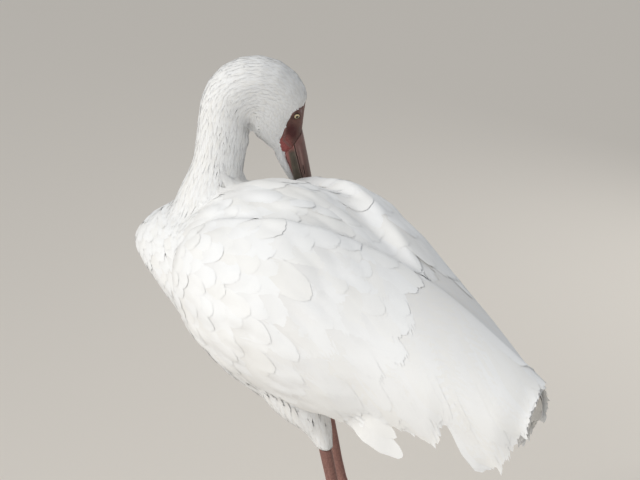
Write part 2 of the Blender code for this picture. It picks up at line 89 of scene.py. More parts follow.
def head_places(points):
    """How far back, raised and out (to the bird's left) points lie in the head."""
    offset = points - np.array(BILL_BASE)
    axes = (-BILL_DIRECTION, HEAD_CROWN, -HEAD_ACROSS)
    return tuple(offset @ np.array(axis) for axis in axes)


# ---- mesh helpers

RELAX_STEPS = (0.55, -0.57)


def unit(vectors):
    return vectors / np.maximum(np.linalg.norm(vectors, axis=-1, keepdims=True), 1e-12)


def rising(value, start, end):
    share = np.clip((value - start) / (end - start), 0, 1)
    return share * share * (3 - 2 * share)


def fading(value, start, end):
    return 1 - rising(value, start, end)


def blend(first, second, share):
    return first * (1 - share) + second * share


def read(items, field, width=3):
    """One field of a mesh's vertices, loops or edges, in rows of a width."""
    values = np.empty(len(items) * width, np.float32)
    items.foreach_get(field, values)
    return values.reshape(-1, width)


def vertices_of(mesh):
    return read(mesh.vertices, "co").astype(float)


def normals_of(mesh):
    return read(mesh.vertex_normals, "vector").astype(float)


def move_vertices(mesh, places):
    mesh.vertices.foreach_set("co", places.astype(np.float32).ravel())
    mesh.update()


def add_fields(mesh, **fields):
    """Stores numbers for each vertex, for a material to read."""
    for name, values in fields.items():
        field = mesh.attributes.new(name, "FLOAT", "POINT")
        field.data.foreach_set("value", np.asarray(values, np.float32))


def relax(mesh, rounds):
    """Smooths a mesh without shrinking it, by steps in and out again."""
    places = vertices_of(mesh)
    edges = np.array([tuple(edge.vertices) for edge in mesh.edges])
    first, second = edges.T
    count = np.bincount(edges.ravel(), minlength=len(places))
    for _ in range(rounds):
        for pull in RELAX_STEPS:
            total = np.empty_like(places)
            for axis in range(3):
                total[:, axis] = np.bincount(first, places[second, axis], len(places))
                total[:, axis] += np.bincount(second, places[first, axis], len(places))
            places += pull * (total / count[:, None] - places)
    move_vertices(mesh, places)


def add_object(name, mesh, material, slot, *replaced):
    """Puts a finished mesh in the scene, riding on the still bird."""
    mesh.name = name
    obj = bpy.data.objects.new(name, mesh)
    bpy.context.scene.collection.objects.link(obj)
    mesh.materials.clear()
    mesh.materials.append(material)
    mesh.shade_smooth()
    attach(obj, "root")
    if replaced:
        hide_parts(*replaced)
    return obj


def united(names, voxel, rounds):
    """One even, closed surface round several CAD nodes."""
    mesh = bpy.data.meshes.new("union")
    shape = bmesh.new()
    for name in names:
        shape.from_mesh(NODES[name].data)
    bmesh.ops.remove_doubles(shape, verts=shape.verts, dist=1e-6)
    shape.to_mesh(mesh)
    shape.free()
    obj = bpy.data.objects.new("union", mesh)
    bpy.context.scene.collection.objects.link(obj)
    remesh = obj.modifiers.new("even", "REMESH")
    remesh.mode = "VOXEL"
    remesh.voxel_size = voxel
    graph = bpy.context.evaluated_depsgraph_get()
    whole = bpy.data.meshes.new_from_object(obj.evaluated_get(graph))
    bpy.data.objects.remove(obj)
    relax(whole, rounds)
    return whole


# ---- skin

PLUMED = ["trunk", "head", "neck_upper", "neck_middle", "neck_base", "chin", "tail"]
PLUMED += [f"{part}_{side}" for part in ("wing", "tertials", "thigh") for side in SIDES]
FLESH = PLUMED + ["face"]
GUIDE_VOXEL, GUIDE_ROUNDS = 0.003, 9
LAY_REACH = 0.003  # from the guide, within which a vane's vertices are laid on it
CHIN_GROWTH, CHIN_DEPTH, CHIN_LIFT = 0.30, 0.0022, 0.09
CHIN_REACH, CHIN_HALF_WIDTH = 0.08, 0.02
BODY_DEPTH = 0.0020
COAT_DEPTHS = {"head": 0.0005, "chin": 0.0005, "neck": 0.0007, "face": 0.0016}

NECK_LINE = neck_line()
NECK_STEPS = np.linalg.norm(np.diff(NECK_LINE, axis=0), axis=1)
NECK_DISTANCE = np.concatenate([[0], np.cumsum(NECK_STEPS)])
NECK_FLOW = unit(np.gradient(NECK_LINE, axis=0))


def node_labels(points):
    """The nearest CAD node to each point."""
    corners, faces, owners = [], [], []
    for name in FLESH:
        mesh = NODES[name].data
        faces += [[index + len(corners) for index in face.vertices] for face in mesh.polygons]
        owners += [name] * len(mesh.polygons)
        corners += [tuple(v.co) for v in mesh.vertices]
    tree = BVHTree.FromPolygons(corners, faces)
    return np.array([owners[tree.find_nearest(Vector(point))[2]] for point in points])


def unwrap(obj):
    """Unwraps a mesh by its own shape, into the map named OFBake; gives its faces' middles."""
    mesh = obj.data
    mesh.uv_layers.new(name="OFBake")
    bpy.context.view_layer.objects.active = obj
    obj.select_set(True)
    bpy.ops.object.mode_set(mode="EDIT")
    bpy.ops.mesh.select_all(action="SELECT")
    bpy.ops.uv.smart_project(angle_limit=math.radians(66), island_margin=0.004)
    bpy.ops.object.mode_set(mode="OBJECT")
    obj.select_set(False)
    starts = [face.loop_start for face in mesh.polygons]
    sums = np.add.reduceat(read(mesh.uv_layers["OFBake"].data, "uv", 2), starts, axis=0)
    return sums / np.array([[face.loop_total] for face in mesh.polygons])


class Guide:
    """The plumage's outer surface, which feathers follow, with the skin's unwrap."""

    def __init__(self, mesh):
        self.places, self.normals = vertices_of(mesh), normals_of(mesh)
        self.quads = np.array([tuple(face.vertices) for face in mesh.polygons])
        self.tree = BVHTree.FromPolygons(self.places.tolist(), self.quads.tolist())
        self.face_normals = unit(self.normals[self.quads].mean(1))
        self.middles = self.places[self.quads].mean(1)
        self.areas = np.array([face.area for face in mesh.polygons])
        self.labels = node_labels(self.middles)
        self.uv = None  # each face's middle on the unwrap, once the skin has one

    def nearest(self, point):
        """Nearest place on the surface, its smooth normal and its face."""
        place, _, face, _ = self.tree.find_nearest(Vector(point))
        place = np.array(place)
        corners = self.quads[face]
        gaps = np.linalg.norm(self.places[corners] - place, axis=1)
        normal = (self.normals[corners] / (gaps[:, None] + 1e-5)).sum(0)
        return place, normal / np.linalg.norm(normal), face

    def laid_on(self, places, outward):
        """Places moved onto the surface, with its normals there; those out of reach stay."""
        hits = [self.tree.find_nearest(Vector(point)) for point in places.reshape(-1, 3)]
        found = np.array([hit[0] for hit in hits])
        corners = self.quads[[hit[2] for hit in hits]]
        gaps = np.linalg.norm(self.places[corners] - found[:, None], axis=2)
        normals = unit((self.normals[corners] / (gaps[..., None] + 1e-5)).sum(1))
        far = np.array([hit[3] for hit in hits]).reshape(places.shape[:-1]) > LAY_REACH
        found, normals = found.reshape(places.shape), normals.reshape(places.shape)
        found[far], normals[far] = places[far], outward[far]
        return found, normals


def lengthen_chin(mesh):
    """Lets the feathered wedge under the bill run further ahead, as its soft tip does."""
    places = vertices_of(mesh)
    back, raise_, out = head_places(places)
    ahead = -back
    near = np.linalg.norm(places - np.array(BILL_BASE), axis=1) < CHIN_REACH
    near &= (ahead < CHIN_REACH) & (np.abs(out) < CHIN_HALF_WIDTH)
    grown = CHIN_GROWTH * ahead * rising(ahead, 0, 0.02) * near
    deeper = CHIN_DEPTH * rising(grown, 0, 0.004) * rising(-raise_, 0.010, 0.016)
    move = np.outer(grown, BILL_DIRECTION) + np.outer(grown * CHIN_LIFT - deeper, HEAD_CROWN)
    move_vertices(mesh, places + move)


def make_skin(material):
    """Makes the skin, inside the plumage by the coat's depth, and gives the guide over it."""
    mesh = united(FLESH + [f"eye_{side}" for side in SIDES], GUIDE_VOXEL, GUIDE_ROUNDS)
    lengthen_chin(mesh)
    guide = Guide(mesh)
    guide.uv = unwrap(add_object("skin", mesh, material, "plumage", *PLUMED))
    depths = {label: COAT_DEPTHS.get(label.split("_")[0], BODY_DEPTH) for label in FLESH}
    face_depth = np.array([depths[label] for label in guide.labels])
    size = len(guide.places)
    total = sum(np.bincount(corner, face_depth, size) for corner in guide.quads.T)
    depth = total / np.bincount(guide.quads.ravel(), minlength=size)
    move_vertices(mesh, guide.places - guide.normals * depth[:, None])
    return guide


# ---- vanes

BAKE_PATCH = 0.003  # of the unwrap, for each vane
TIP_ROUNDING, TIP_POINT = 0.35, 0.12  # share of the length that the tip's shape may take
FRAY_FROM = 0.4  # share of the length, past which the tip's edge is uneven


class Vane:
    """The pattern that one kind of feather shares: how fine it is and how it is shaped."""

    root, widest = 0.35, 0.45  # width of the root, and where the vane is widest
    point, rounding = 0, 0.5  # how sharp and how round the tip is
    thickness = 0.0004
    softness = 0.65  # share of the body's own form in its shading

    def __init__(self, rows, columns, fringe, camber, heights, **shape):
        """heights over the surface: of the root, the proudest tip and the lowest."""
        self.rows, self.columns = rows, columns
        self.fringe, self.camber = fringe, camber
        self.start, self.proud, self.tucked = heights
        vars(self).update(shape)
        self.along = np.linspace(0, 1, rows)
        self.across = np.linspace(-1, 1, columns)

    def faces(self):
        """Faces of one closed vane: its top, then its underside, which meet along the rim."""
        r, c = self.rows, self.columns
        top = np.arange(r * c).reshape(r, c)
        below = top.copy()
        below[1:-1, 1:-1] = r * c + np.arange((r - 2) * (c - 2)).reshape(r - 2, c - 2)
        corners = [
            np.stack([grid[:-1, :-1], grid[:-1, 1:], grid[1:, 1:], grid[1:, :-1]], -1)
            for grid in (top, below)
        ]
        return np.concatenate([corners[0], corners[1][..., ::-1]]).reshape(-1, 4)

    def pattern(self, count):
        """Each vertex's share of its vane's length, and its share of half the width."""
        t = self.across
        tip = 1 - self.rounding * (1 - np.sqrt(np.maximum(1 - t * t, 0))) * TIP_ROUNDING
        tip -= self.point * np.abs(t) * TIP_POINT
        jag = RANDOM.uniform(-1, 0.2, (count, self.columns)) * self.fringe
        frayed = np.clip((self.along - FRAY_FROM) / (1 - FRAY_FROM), 0, 1)
        along = self.along[None, :, None] + jag[:, None, :] * frayed[None, :, None]
        along = along * tip
        width = self.root + (1 - self.root) * rising(self.along, 0, self.widest)
        taper = 1 - self.point * rising(self.along, self.widest, 1.0) * 0.9
        return along, np.broadcast_to((width * taper)[None, :, None] * t, along.shape)

    def heights(self, across, widths, pride):
        """Each vertex's height over the surface. pride: 0 for a tucked tip, 1 for a proud one."""
        tip = self.tucked + (self.proud - self.tucked) * pride[:, None, None]
        s = self.along[None, :, None]
        height = self.start * (1 - s) + tip * rising(s, 0.6, 1.0)
        return height - self.camber * across * across * widths[:, None, None] / 2


def closed(top, below):
    """Vertices of vanes: the whole top, and the underside within the rim that they share."""
    sides = (top, below[:, 1:-1, 1:-1])
    return np.concatenate([side.reshape(len(top), -1, top.shape[-1]) for side in sides], 1)


class Coat:
    """Many vanes of several kinds, gathered into one mesh."""

    def __init__(self):
        self.batches = []

    def add(self, kind, places, outward, heights, roots_uv):
        """Vanes with their vertices at heights over places on the surface.

        They shade partly by the body's own form, so that they read as one soft coat.
        """
        points = places + outward * heights[..., None]
        own = unit(np.cross(np.gradient(points, axis=2), np.gradient(points, axis=1)))
        shading = unit(blend(own, outward, kind.softness))
        points = closed(points, points - outward * kind.thickness)
        self.batches.append((kind, points, closed(shading, shading), roots_uv))

    def follow(self, kind, paths, normals, widths, roots_uv, pride, guide=None):
        """Vanes along paths, (vane, station, axis) arrays, and all over the guide if given."""
        along, across = kind.pattern(len(paths))
        outward = unit(sample(normals, along))
        ahead = unit(sample(np.gradient(paths, axis=1), along))
        half = (across * widths[:, None, None] / 2)[..., None]
        places = sample(paths, along) + unit(np.cross(ahead, outward)) * half
        if guide is not None:
            places, outward = guide.laid_on(places, outward)
        self.add(kind, places, outward, kind.heights(across, widths, pride), roots_uv)

    def build(self, name, material, slot="plumage", replaced=()):
        """Joins the vanes gathered so far into one object."""
        parts = []
        offset = 0
        for kind, points, shading, roots_uv in self.batches:
            count, each = points.shape[:2]
            s, t = np.meshgrid(kind.along, kind.across, indexing="ij")
            barb = np.stack([t, s], -1)[None]
            barb = closed(barb, barb)[0]
            quads = kind.faces()
            starts = offset + np.arange(count)[:, None, None] * each
            spot = np.stack([barb[:, 0], barb[:, 1] * 2 - 1], -1) * BAKE_PATCH / 2
            parts.append((
                points.reshape(-1, 3),
                (quads + starts).reshape(-1, 4),
                (roots_uv[:, None, :] + spot).reshape(-1, 2),
                np.tile(barb, (count, 1)),
                np.repeat(RANDOM.uniform(0, 1, count), each),
                shading.reshape(-1, 3),
                np.tile(np.arange(len(quads)) >= len(quads) // 2, count),
            ))
            offset += count * each
        places, faces, bake, barbs, tones, shading, under = map(np.concatenate, zip(*parts))
        loops = faces.ravel()
        mesh = bpy.data.meshes.new(name)
        mesh.vertices.add(offset)
        mesh.loops.add(len(loops))
        mesh.polygons.add(len(faces))
        mesh.loops.foreach_set("vertex_index", loops.astype(np.int32))
        mesh.polygons.foreach_set("loop_start", np.arange(0, len(loops), 4, dtype=np.int32))
        move_vertices(mesh, places)
        mesh.update(calc_edges=True)
        for layer, values in (("OFBake", bake), ("barbs", barbs)):
            uv = mesh.uv_layers.new(name=layer)
            uv.data.foreach_set("uv", values[loops].astype(np.float32).ravel())
        add_fields(mesh, tone=tones)
        add_object(name, mesh, material, slot, *replaced)
        shading = shading[loops]
        shading[np.repeat(under, 4)] *= -1
        mesh.normals_split_custom_set(shading.astype(np.float32))


def sample(values, along):
    """Values, (n, stations, 3), at shares along their stations, (n, rows, columns)."""
    stations = values.shape[1]
    at = np.clip(along, 0, 1) * (stations - 1)
    low = np.minimum(at.astype(int), stations - 2)
    share = (at - low)[..., None]
    index = np.arange(len(values))[:, None, None]
    return blend(values[index, low], values[index, low + 1], share)


TRIES = 3.2  # places tried, for each that a spacing asks for
CLOSEST = 0.43  # least gap of two places, as a share of both their spacings together


def scatter(guide, spacing, seed):
    """Well spread places on the guide: faces and points, where spacing(face) is above 0."""
    draw = np.random.default_rng(seed)
    weight = guide.areas * np.where(spacing > 0, 1 / np.maximum(spacing, 1e-4) ** 2, 0)
    count = int(weight.sum() * TRIES)
    faces = draw.choice(len(weight), count, p=weight / weight.sum())
    first, second = draw.random((2, count, 1))
    a, b, c, d = guide.places[guide.quads[faces]].transpose(1, 0, 2)
    points = blend(blend(a, b, first), blend(d, c, first), second)
    grid, kept = {}, []
    keys = np.floor(points / spacing.max()).astype(int)
    gaps = spacing[faces]
    around = list(itertools.product((-1, 0, 1), repeat=3))
    for index in range(count):
        x, y, z = keys[index]
        near = [n for i, j, k in around for n in grid.get((x + i, y + j, z + k), ())]
        if near:
            reach = (gaps[near] + gaps[index]) * CLOSEST
            if (((points[near] - points[index]) ** 2).sum(1) < reach * reach).any():
                continue
        grid.setdefault((x, y, z), []).append(index)
        kept.append(index)
    return points[kept], faces[kept]


def walk(guide, starts, lengths, flow, stations):
    """Paths along the surface from their roots, following a flow of directions."""
    paths = np.empty((len(starts), stations, 3))
    normals = np.empty_like(paths)
    roots = np.empty(len(starts), int)
    for index, start in enumerate(starts):
        place, normal, roots[index] = guide.nearest(start)
        step = lengths[index] / (stations - 1)
        for station in range(stations):
            paths[index, station] = place
            normals[index, station] = normal
            direction = flow(place, index)
            direction = direction - normal * direction.dot(normal)
            direction = direction / max(np.linalg.norm(direction), 1e-9)
            ahead = place + direction * step
            place, normal, _ = guide.nearest(ahead)
            if np.linalg.norm(place - ahead) > step:
                place, normal = ahead, normals[index, station]
    return paths, normals, roots


# ---- feathers of head, neck and body

# Distance back from the bill's base, and there the feathers' length, width and spacing
NECK_PLUMES = (
    (0.030, 0.0080, 0.0026, 0.0025),
    (0.070, 0.0100, 0.0032, 0.0028),
    (0.110, 0.0140, 0.0038, 0.0034),
    (0.200, 0.0200, 0.0048, 0.0042),
    (0.290, 0.0270, 0.0080, 0.0052),
    (0.360, 0.0340, 0.0150, 0.0085),
)
BREAST_PLUME = (0.036, 0.0170, 0.0104)
BREAST_PIECES = [f"coat_breast_{band}" for band in ("low", "lower", "upper", "top")]
BELLY_PLUME = (0.042, 0.0150, 0.0085)
INNER_PLUME = (0.028, 0.0170, 0.0110)  # on the inner sides of the hanging tertials
THIGH_PLUME = (0.030, 0.0075, 0.0050)
BODY_FLOW, BELLY_FLOW, THIGH_FLOW = np.array(((0, 1, -0.55), (0, 1, -0.20), (0, 0.25, -1)))
BELLY_TOP = 0.55
JAW_LINE = -0.0160  # raise in the head, under which its face is feathered
JAW_CROWDING = 0.6  # of the head's spacing
NECK_ENDS = (0.25, 0.33)  # over which the neck's flow gives way to the body's
NECK_EDGE, BREAST_EDGE = 0.28, 0.26  # where the neck's coat ends, and the breast's begins
RAGGED = 0.03  # unevenness of those edges
BREAST_SIZES = (0.27, 0.32)  # over which the neck's feathers grow to the breast's
SIZE_SPREAD, LEAN = (0.85, 1.15), 0.10
SHEET_FACING = (0.6, 0.2, 0.77)  # outwards, back and up, as the tertials' upper side faces
INNER_FACING = -0.35  # share of that, under which a face is on their inner side

FINE = Vane(4, 3, 0.10, 0.04, (-0.0003, 0.0001, -0.0001), root=0.5, point=0.75,
            thickness=0.0002, softness=0.93)
LOCK = Vane(5, 3, 0.20, 0.04, (-0.0004, 0.0001, -0.0002), root=0.4, point=0.80,
            thickness=0.0003, softness=0.90)
SCALLOP = Vane(5, 7, 0.16, 0.06, (-0.0009, 0.0001, -0.0004), rounding=1.2,
               thickness=0.0003, softness=0.75)
FLUFF = Vane(5, 7, 0.40, 0.08, (-0.0010, 0.0004, -0.0004), root=0.4, rounding=0.9,
             thickness=0.0003, softness=0.75)


def flow_at(place, label):
    """Which way feathers lie at a place."""
    if label.startswith(("thigh", "tertials")):
        return THIGH_FLOW
    nearest = ((NECK_LINE - place) ** 2).sum(1).argmin()
    share = float(rising(NECK_DISTANCE[nearest], *NECK_ENDS))
    body = BELLY_FLOW if place[2] < BELLY_TOP else BODY_FLOW
    return blend(NECK_FLOW[nearest], unit(body), share)


def plume_coat(guide, names, kind, chosen, sizes, material, seed, stations=5):
    """A coat of small feathers over the chosen faces, in as many pieces as it has names.

    sizes: length, width and spacing of the feathers on each face.
    """
    length, width, spacing = (np.where(chosen, value, 0) for value in sizes)
    points, faces = scatter(guide, spacing, seed)
    labels = guide.labels[faces]
    draw = np.random.default_rng(seed)
    scale = draw.uniform(*SIZE_SPREAD, len(points))
    lean = draw.normal(0, LEAN, len(points))

    def flow(place, index):
        direction = unit(flow_at(place, labels[index]))
        normal = guide.face_normals[faces[index]]
        return direction + np.cross(normal, direction) * lean[index]

    paths, normals, roots = walk(guide, points, length[faces] * scale, flow, stations)
    pride = draw.uniform(0, 1, len(points)) ** 2
    widths = width[faces] * scale
    for name, part in zip(names, np.array_split(np.argsort(points[:, 2]), len(names))):
        coat = Coat()
        places = guide.uv[roots[part]]
        coat.follow(kind, paths[part], normals[part], widths[part], places, pride[part], guide)
        coat.build(name, material)


def inner_sides(guide):
    """Faces on the inner sides of the hanging tertials, a feather's length above the hem."""
    sheet = np.char.startswith(guide.labels, "tertials")
    side = np.sign(guide.middles[:, 0] - SHIFT.x)
    facing = guide.face_normals
    out, back, up = SHEET_FACING
    inner = side * facing[:, 0] * out + facing[:, 1] * back + facing[:, 2] * up < INNER_FACING
    inner &= sheet
    length = INNER_PLUME[0]
    for face in np.flatnonzero(inner):
        tip = guide.middles[face] + unit(THIGH_FLOW) * length * 1.3
        place, normal, _ = guide.nearest(tip)
        gap = np.linalg.norm(place - tip)
        inner[face] = gap < length * 0.3 and normal @ facing[face] > 0.7
    return inner


def make_small_coats(guide, material):
    """Coats of head, neck, breast, belly and thighs."""
    labels, middles = guide.labels, guide.middles
    gaps = ((middles[:, None, :] - NECK_LINE[None, :, :]) ** 2).sum(-1)
    distance = NECK_DISTANCE[gaps.argmin(1)]
    table = np.array(NECK_PLUMES)
    length, width, spacing = (np.interp(distance, table[:, 0], row) for row in table.T[1:])
    jaw = (labels == "face") & (head_places(middles)[1] < JAW_LINE)
    head = np.isin(labels, ["head", "chin"]) | jaw
    neck = np.char.startswith(labels, "neck")
    trunk, low = labels == "trunk", middles[:, 2] < BELLY_TOP
    thigh = np.char.startswith(labels, "thigh")
    dense = (length, width, np.where(jaw, spacing * JAW_CROWDING, spacing))
    plume_coat(guide, ["coat_head"], FINE, head, dense, material, 1, stations=4)
    ragged = distance + RANDOM.uniform(-RAGGED, RAGGED, len(labels))
    sizes = (length, width, spacing)
    plume_coat(guide, ["coat_neck"], LOCK, neck & (ragged < NECK_EDGE), sizes, material, 2)
    breast = (neck & (ragged >= BREAST_EDGE)) | (trunk & ~low)
    share = rising(distance, *BREAST_SIZES)
    mixed = [blend(neck_size, size, share) for neck_size, size in zip(sizes, BREAST_PLUME)]
    plume_coat(guide, BREAST_PIECES, SCALLOP, breast, mixed, material, 3)
    plume_coat(guide, ["coat_belly"], FLUFF, trunk & low, BELLY_PLUME, material, 4)
    plume_coat(guide, ["coat_inner"], SCALLOP, inner_sides(guide), INNER_PLUME, material, 6)
    plume_coat(guide, ["coat_thighs"], LOCK, thigh, THIGH_PLUME, material, 5)


# ---- feathers of wings and tail

MAP_Y = np.linspace(-0.125, 0.345, 189)
MAP_ANGLE = np.linspace(-62, 102, 165)
STEP_Y, STEP_ANGLE = MAP_Y[1] - MAP_Y[0], MAP_ANGLE[1] - MAP_ANGLE[0]
DEGREE = 0.0023  # of the wing's surface, for a degree of angle
AXIS_ROWS = ((-0.125, 0.615), (0.050, 0.610), (0.310, 0.530), (0.345, 0.520))  # y and height
CAST_FROM = 0.3
HEM_STARTS = 0.105  # behind it, a wing's surface ends at its hem and hangs free
HEM_LEAD = 0.012
HANG_DROP, HANG_SLOPE = 0.10, 0.3  # how fast the surface is carried down, and back past its end
AXIS_HEIGHT = 0.55  # about which it faces outwards, where its places coincide
MIDLINE = 78  # angle past which the other surfaces of the back count too
BRIDGE_Y, BRIDGE_ANGLES = (-0.02, 0.05), (55, 70)  # over which the groove between wings fills
BRIDGE_ROUNDS = 40
END_MARGIN = 0.004  # of the wing's rear end, where its surface turns under
REAR_TOP = 88  # angle at which the wing's rear end meets the other's
LOBE_HEIGHT = 0.0036
LOBE_ROWS = np.arange(-0.115, 0.125, 0.021)
LOBE_ANGLES, LOBE_STAGGER = (-36, 100, 11.5), 6  # of a row, and the turn of every other row
LOBE_LENGTH, LOBE_WIDTH = (0.030, 0.042), (0.013, 0.018)
LOBE_SLANT = (-12, 18)  # degrees on the flank, and how many more on the back


def settled(values):
    """A map evened out a little, along the body and then round it."""
    values[1:-1] = (values[:-2] + 2 * values[1:-1] + values[2:]) / 4
    values[:, 1:-1] = (values[:, :-2] + 2 * values[:, 1:-1] + values[:, 2:]) / 4
    return values


class Surround:
    """The folded wing's outer surface, by place along the body and angle round it."""

    def __init__(self, guide, side, draw):
        self.sign = SIDES[side]
        self.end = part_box(f"tertials_{side}")[1].y - SHIFT.y
        heights = np.interp(MAP_Y, *zip(*AXIS_ROWS))
        self.axes = np.array([[Vector((0, y, z)) + SHIFT] for y, z in zip(MAP_Y, heights)])
        self.cast(guide, (f"wing_{side}", f"tertials_{side}"))
        self.hang()
        found = self.radii()
        for _ in range(4):
            settled(self.places)
        self.stretch(np.maximum(found, self.bridged(found)))
        settled(self.places)
        self.face_out()
        self.places += self.normals * self.lobes(draw)[..., None]
        settled(self.places)
        self.face_out()

    def cast(self, guide, own):
        """Finds the surface by rays to the axis. Behind the hem's start, only own nodes count."""
        ahead = np.isin(guide.labels, ["head", "neck_upper", "neck_middle", "chin", "face"])
        body = np.flatnonzero(~ahead)
        tree = BVHTree.FromPolygons(guide.places.tolist(), guide.quads[body].tolist())
        shape = (len(MAP_Y), len(MAP_ANGLE))
        self.places = np.full((*shape, 3), np.nan)
        self.uv = np.zeros((*shape, 2))
        for i, y in enumerate(MAP_Y):
            if y > self.end - END_MARGIN:
                break
            axis = Vector(self.axes[i, 0])
            for j, angle in enumerate(MAP_ANGLE):
                turn = math.radians(angle)
                outward = Vector((math.cos(turn) * self.sign, 0, math.sin(turn)))
                hit = tree.ray_cast(axis + outward * CAST_FROM, -outward, CAST_FROM)
                if hit[0] is None:
                    continue
                face = body[hit[2]]
                if y > HEM_STARTS and angle < MIDLINE and guide.labels[face] not in own:
                    continue
                self.places[i, j] = hit[0]
                self.uv[i, j] = guide.uv[face]

    def hang(self):
        """Carries the surface on where there is none: straight down, and back past its end."""
        self.hem = np.zeros(len(MAP_Y))
        drop = np.array((0, 0, -HANG_DROP * math.radians(STEP_ANGLE)))
        for i in range(len(MAP_Y)):
            found = np.flatnonzero(~np.isnan(self.places[i, :, 0]))
            if not len(found):
                run = MAP_Y[i] - MAP_Y[i - 1]
                self.places[i] = self.places[i - 1] + np.array((0, run, -HANG_SLOPE * run))
                self.uv[i] = self.uv[i - 1]
                self.hem[i] = self.hem[i - 1]
                continue
            lowest = found[0]
            self.hem[i] = MAP_ANGLE[lowest]
            for axis in range(3):
                column = self.places[i, :, axis]
                column[:] = np.interp(np.arange(len(column)), found, column[found])
            for j in range(lowest - 1, -1, -1):
                self.places[i, j] = self.places[i, j + 1] + drop
                self.uv[i, j] = self.uv[i, j + 1]

    def radii(self):
        """Distance of the surface from the wing's axis."""
        return np.linalg.norm(self.places - self.axes, axis=-1)

    def bridged(self, radii):
        """Distances that pass over the groove between the two wings, without a step."""
        over = radii.copy()
        for _ in range(BRIDGE_ROUNDS):
            over = np.maximum(settled(over), radii)
        y, angle = np.meshgrid(MAP_Y, MAP_ANGLE, indexing="ij")
        share = rising(y, *BRIDGE_Y) * rising(angle, *BRIDGE_ANGLES)
        return radii + (over - radii) * share

    def stretch(self, radii):
        """Moves the surface outwards, where it lies within these distances of the axis."""
        factor = np.maximum(radii / np.maximum(self.radii(), 1e-6), 1)
        self.places = self.axes + (self.places - self.axes) * factor[..., None]

    def face_out(self):
        """Works out the surface's normals from its places."""
        facing = np.cross(np.gradient(self.places, axis=0), np.gradient(self.places, axis=1))
        facing *= self.sign
        size = np.linalg.norm(facing, axis=-1, keepdims=True)
        outward = self.places * (1, 0, 1) - (0, 0, AXIS_HEIGHT)
        outward = np.where(size > 1e-9, facing / np.maximum(size, 1e-12), unit(outward))
        self.normals = unit(outward)

    def lobes(self, draw):
        """Height of soft lobes, as large feathers make where they overlap."""
        y, angle = np.meshgrid(MAP_Y, MAP_ANGLE, indexing="ij")
        height = np.zeros(y.shape)
        lowest, highest, step = LOBE_ANGLES
        for row, place in enumerate(LOBE_ROWS):
            for lead in np.arange(lowest + LOBE_STAGGER * (row % 2), highest, step):
                middle = draw.normal((place, lead), (0.004, 2))
                slant = LOBE_SLANT[0] + LOBE_SLANT[1] * rising(lead, -20, 60)
                slant = math.radians(draw.normal(slant, 5))
                length, width = draw.uniform(*LOBE_LENGTH), draw.uniform(*LOBE_WIDTH)
                ahead, aside = y - middle[0], (angle - middle[1]) * DEGREE
                u = (ahead * math.cos(slant) + aside * math.sin(slant)) / length
                v = (aside * math.cos(slant) - ahead * math.sin(slant)) / width
                dome = np.clip(1 - v * v - np.maximum(u - 0.4, 0) ** 2 / 0.36, 0, 1)
                size = draw.uniform(0.25, 1.0) * (1 - 0.8 * rising(place, 0.05, 0.12))
                lobe = LOBE_HEIGHT * size * dome**0.8 * rising(u, -1, 0.3)
                height = np.maximum(height, lobe)
        return height

    def at(self, y, angle, values):
        """Values of the map at places between its own."""
        i = np.clip((y - MAP_Y[0]) / STEP_Y, 0, len(MAP_Y) - 1.001)
        j = np.clip((angle - MAP_ANGLE[0]) / STEP_ANGLE, 0, len(MAP_ANGLE) - 1.001)
        a, b = i.astype(int), j.astype(int)
        u, v = (i - a)[..., None], (j - b)[..., None]
        near, far = (blend(values[k, b], values[k, b + 1], v) for k in (a, a + 1))
        return blend(near, far, u)

    def hem_at(self, y):
        return np.interp(y, MAP_Y, self.hem)

    def hem_places(self, gap):
        """Places (y, angle) along the hem and up the wing's rear end, at even gaps."""
        y = np.linspace(HEM_STARTS + HEM_LEAD, self.end - END_MARGIN, 300)
        angle = np.append(self.hem_at(y), REAR_TOP)
        y = np.append(y, self.end - END_MARGIN / 2)
        run = np.hypot(np.diff(y), np.diff(angle) * DEGREE)
        distance = np.concatenate([[0], np.cumsum(run)])
        at = np.arange(gap / 2, distance[-1], gap)
        return zip(np.interp(at, distance, y), np.interp(at, distance, angle))

    def lay(self, coat, kind, rows, bow, pride):
        """Adds vanes that hug the surface. rows: start and end (y, angle), and width."""
        starts, ends, widths = (np.array(part, float) for part in zip(*rows))
        along, across = kind.pattern(len(starts))
        (y, angle), (last_y, last_angle) = starts.T[..., None, None], ends.T[..., None, None]
        run_y = (last_y - y) * np.ones_like(along)
        run_angle = (last_angle - angle + bow * 4 * (1 - 2 * along)) * DEGREE
        aside = self.sign * across * widths[:, None, None] / 2 / np.hypot(run_y, run_angle)
        y = y + run_y * along + run_angle * aside
        angle = angle + (last_angle - angle + bow * 4 * (1 - along)) * along
        angle = angle - run_y * aside / DEGREE
        i = np.clip(np.searchsorted(MAP_Y, starts[:, 0]), 0, len(MAP_Y) - 1)
        j = np.clip(np.searchsorted(MAP_ANGLE, starts[:, 1]), 0, len(MAP_ANGLE) - 1)
        outward = unit(self.at(y, angle, self.normals))
        heights = kind.heights(across, widths, pride)
        coat.add(kind, self.at(y, angle, self.places), outward, heights, self.uv[i, j])


COVERT = Vane(12, 13, 0.02, 0.04, (-0.0013, 0.0001, -0.0008), widest=0.4, rounding=1.2)
SCAPULAR = Vane(14, 17, 0.025, 0.05, (-0.0013, 0.0005, -0.0008), root=0.30, rounding=1.2)
FRAYED = Vane(12, 21, 0.08, 0.03, (-0.0010, 0.0003, -0.0006), root=0.30, widest=0.4,
              rounding=0.8)
TERTIAL = Vane(20, 9, 0.025, 0.012, (-0.0012, 0.0004, -0.0004), widest=0.3, point=0.15,
               rounding=0.28)

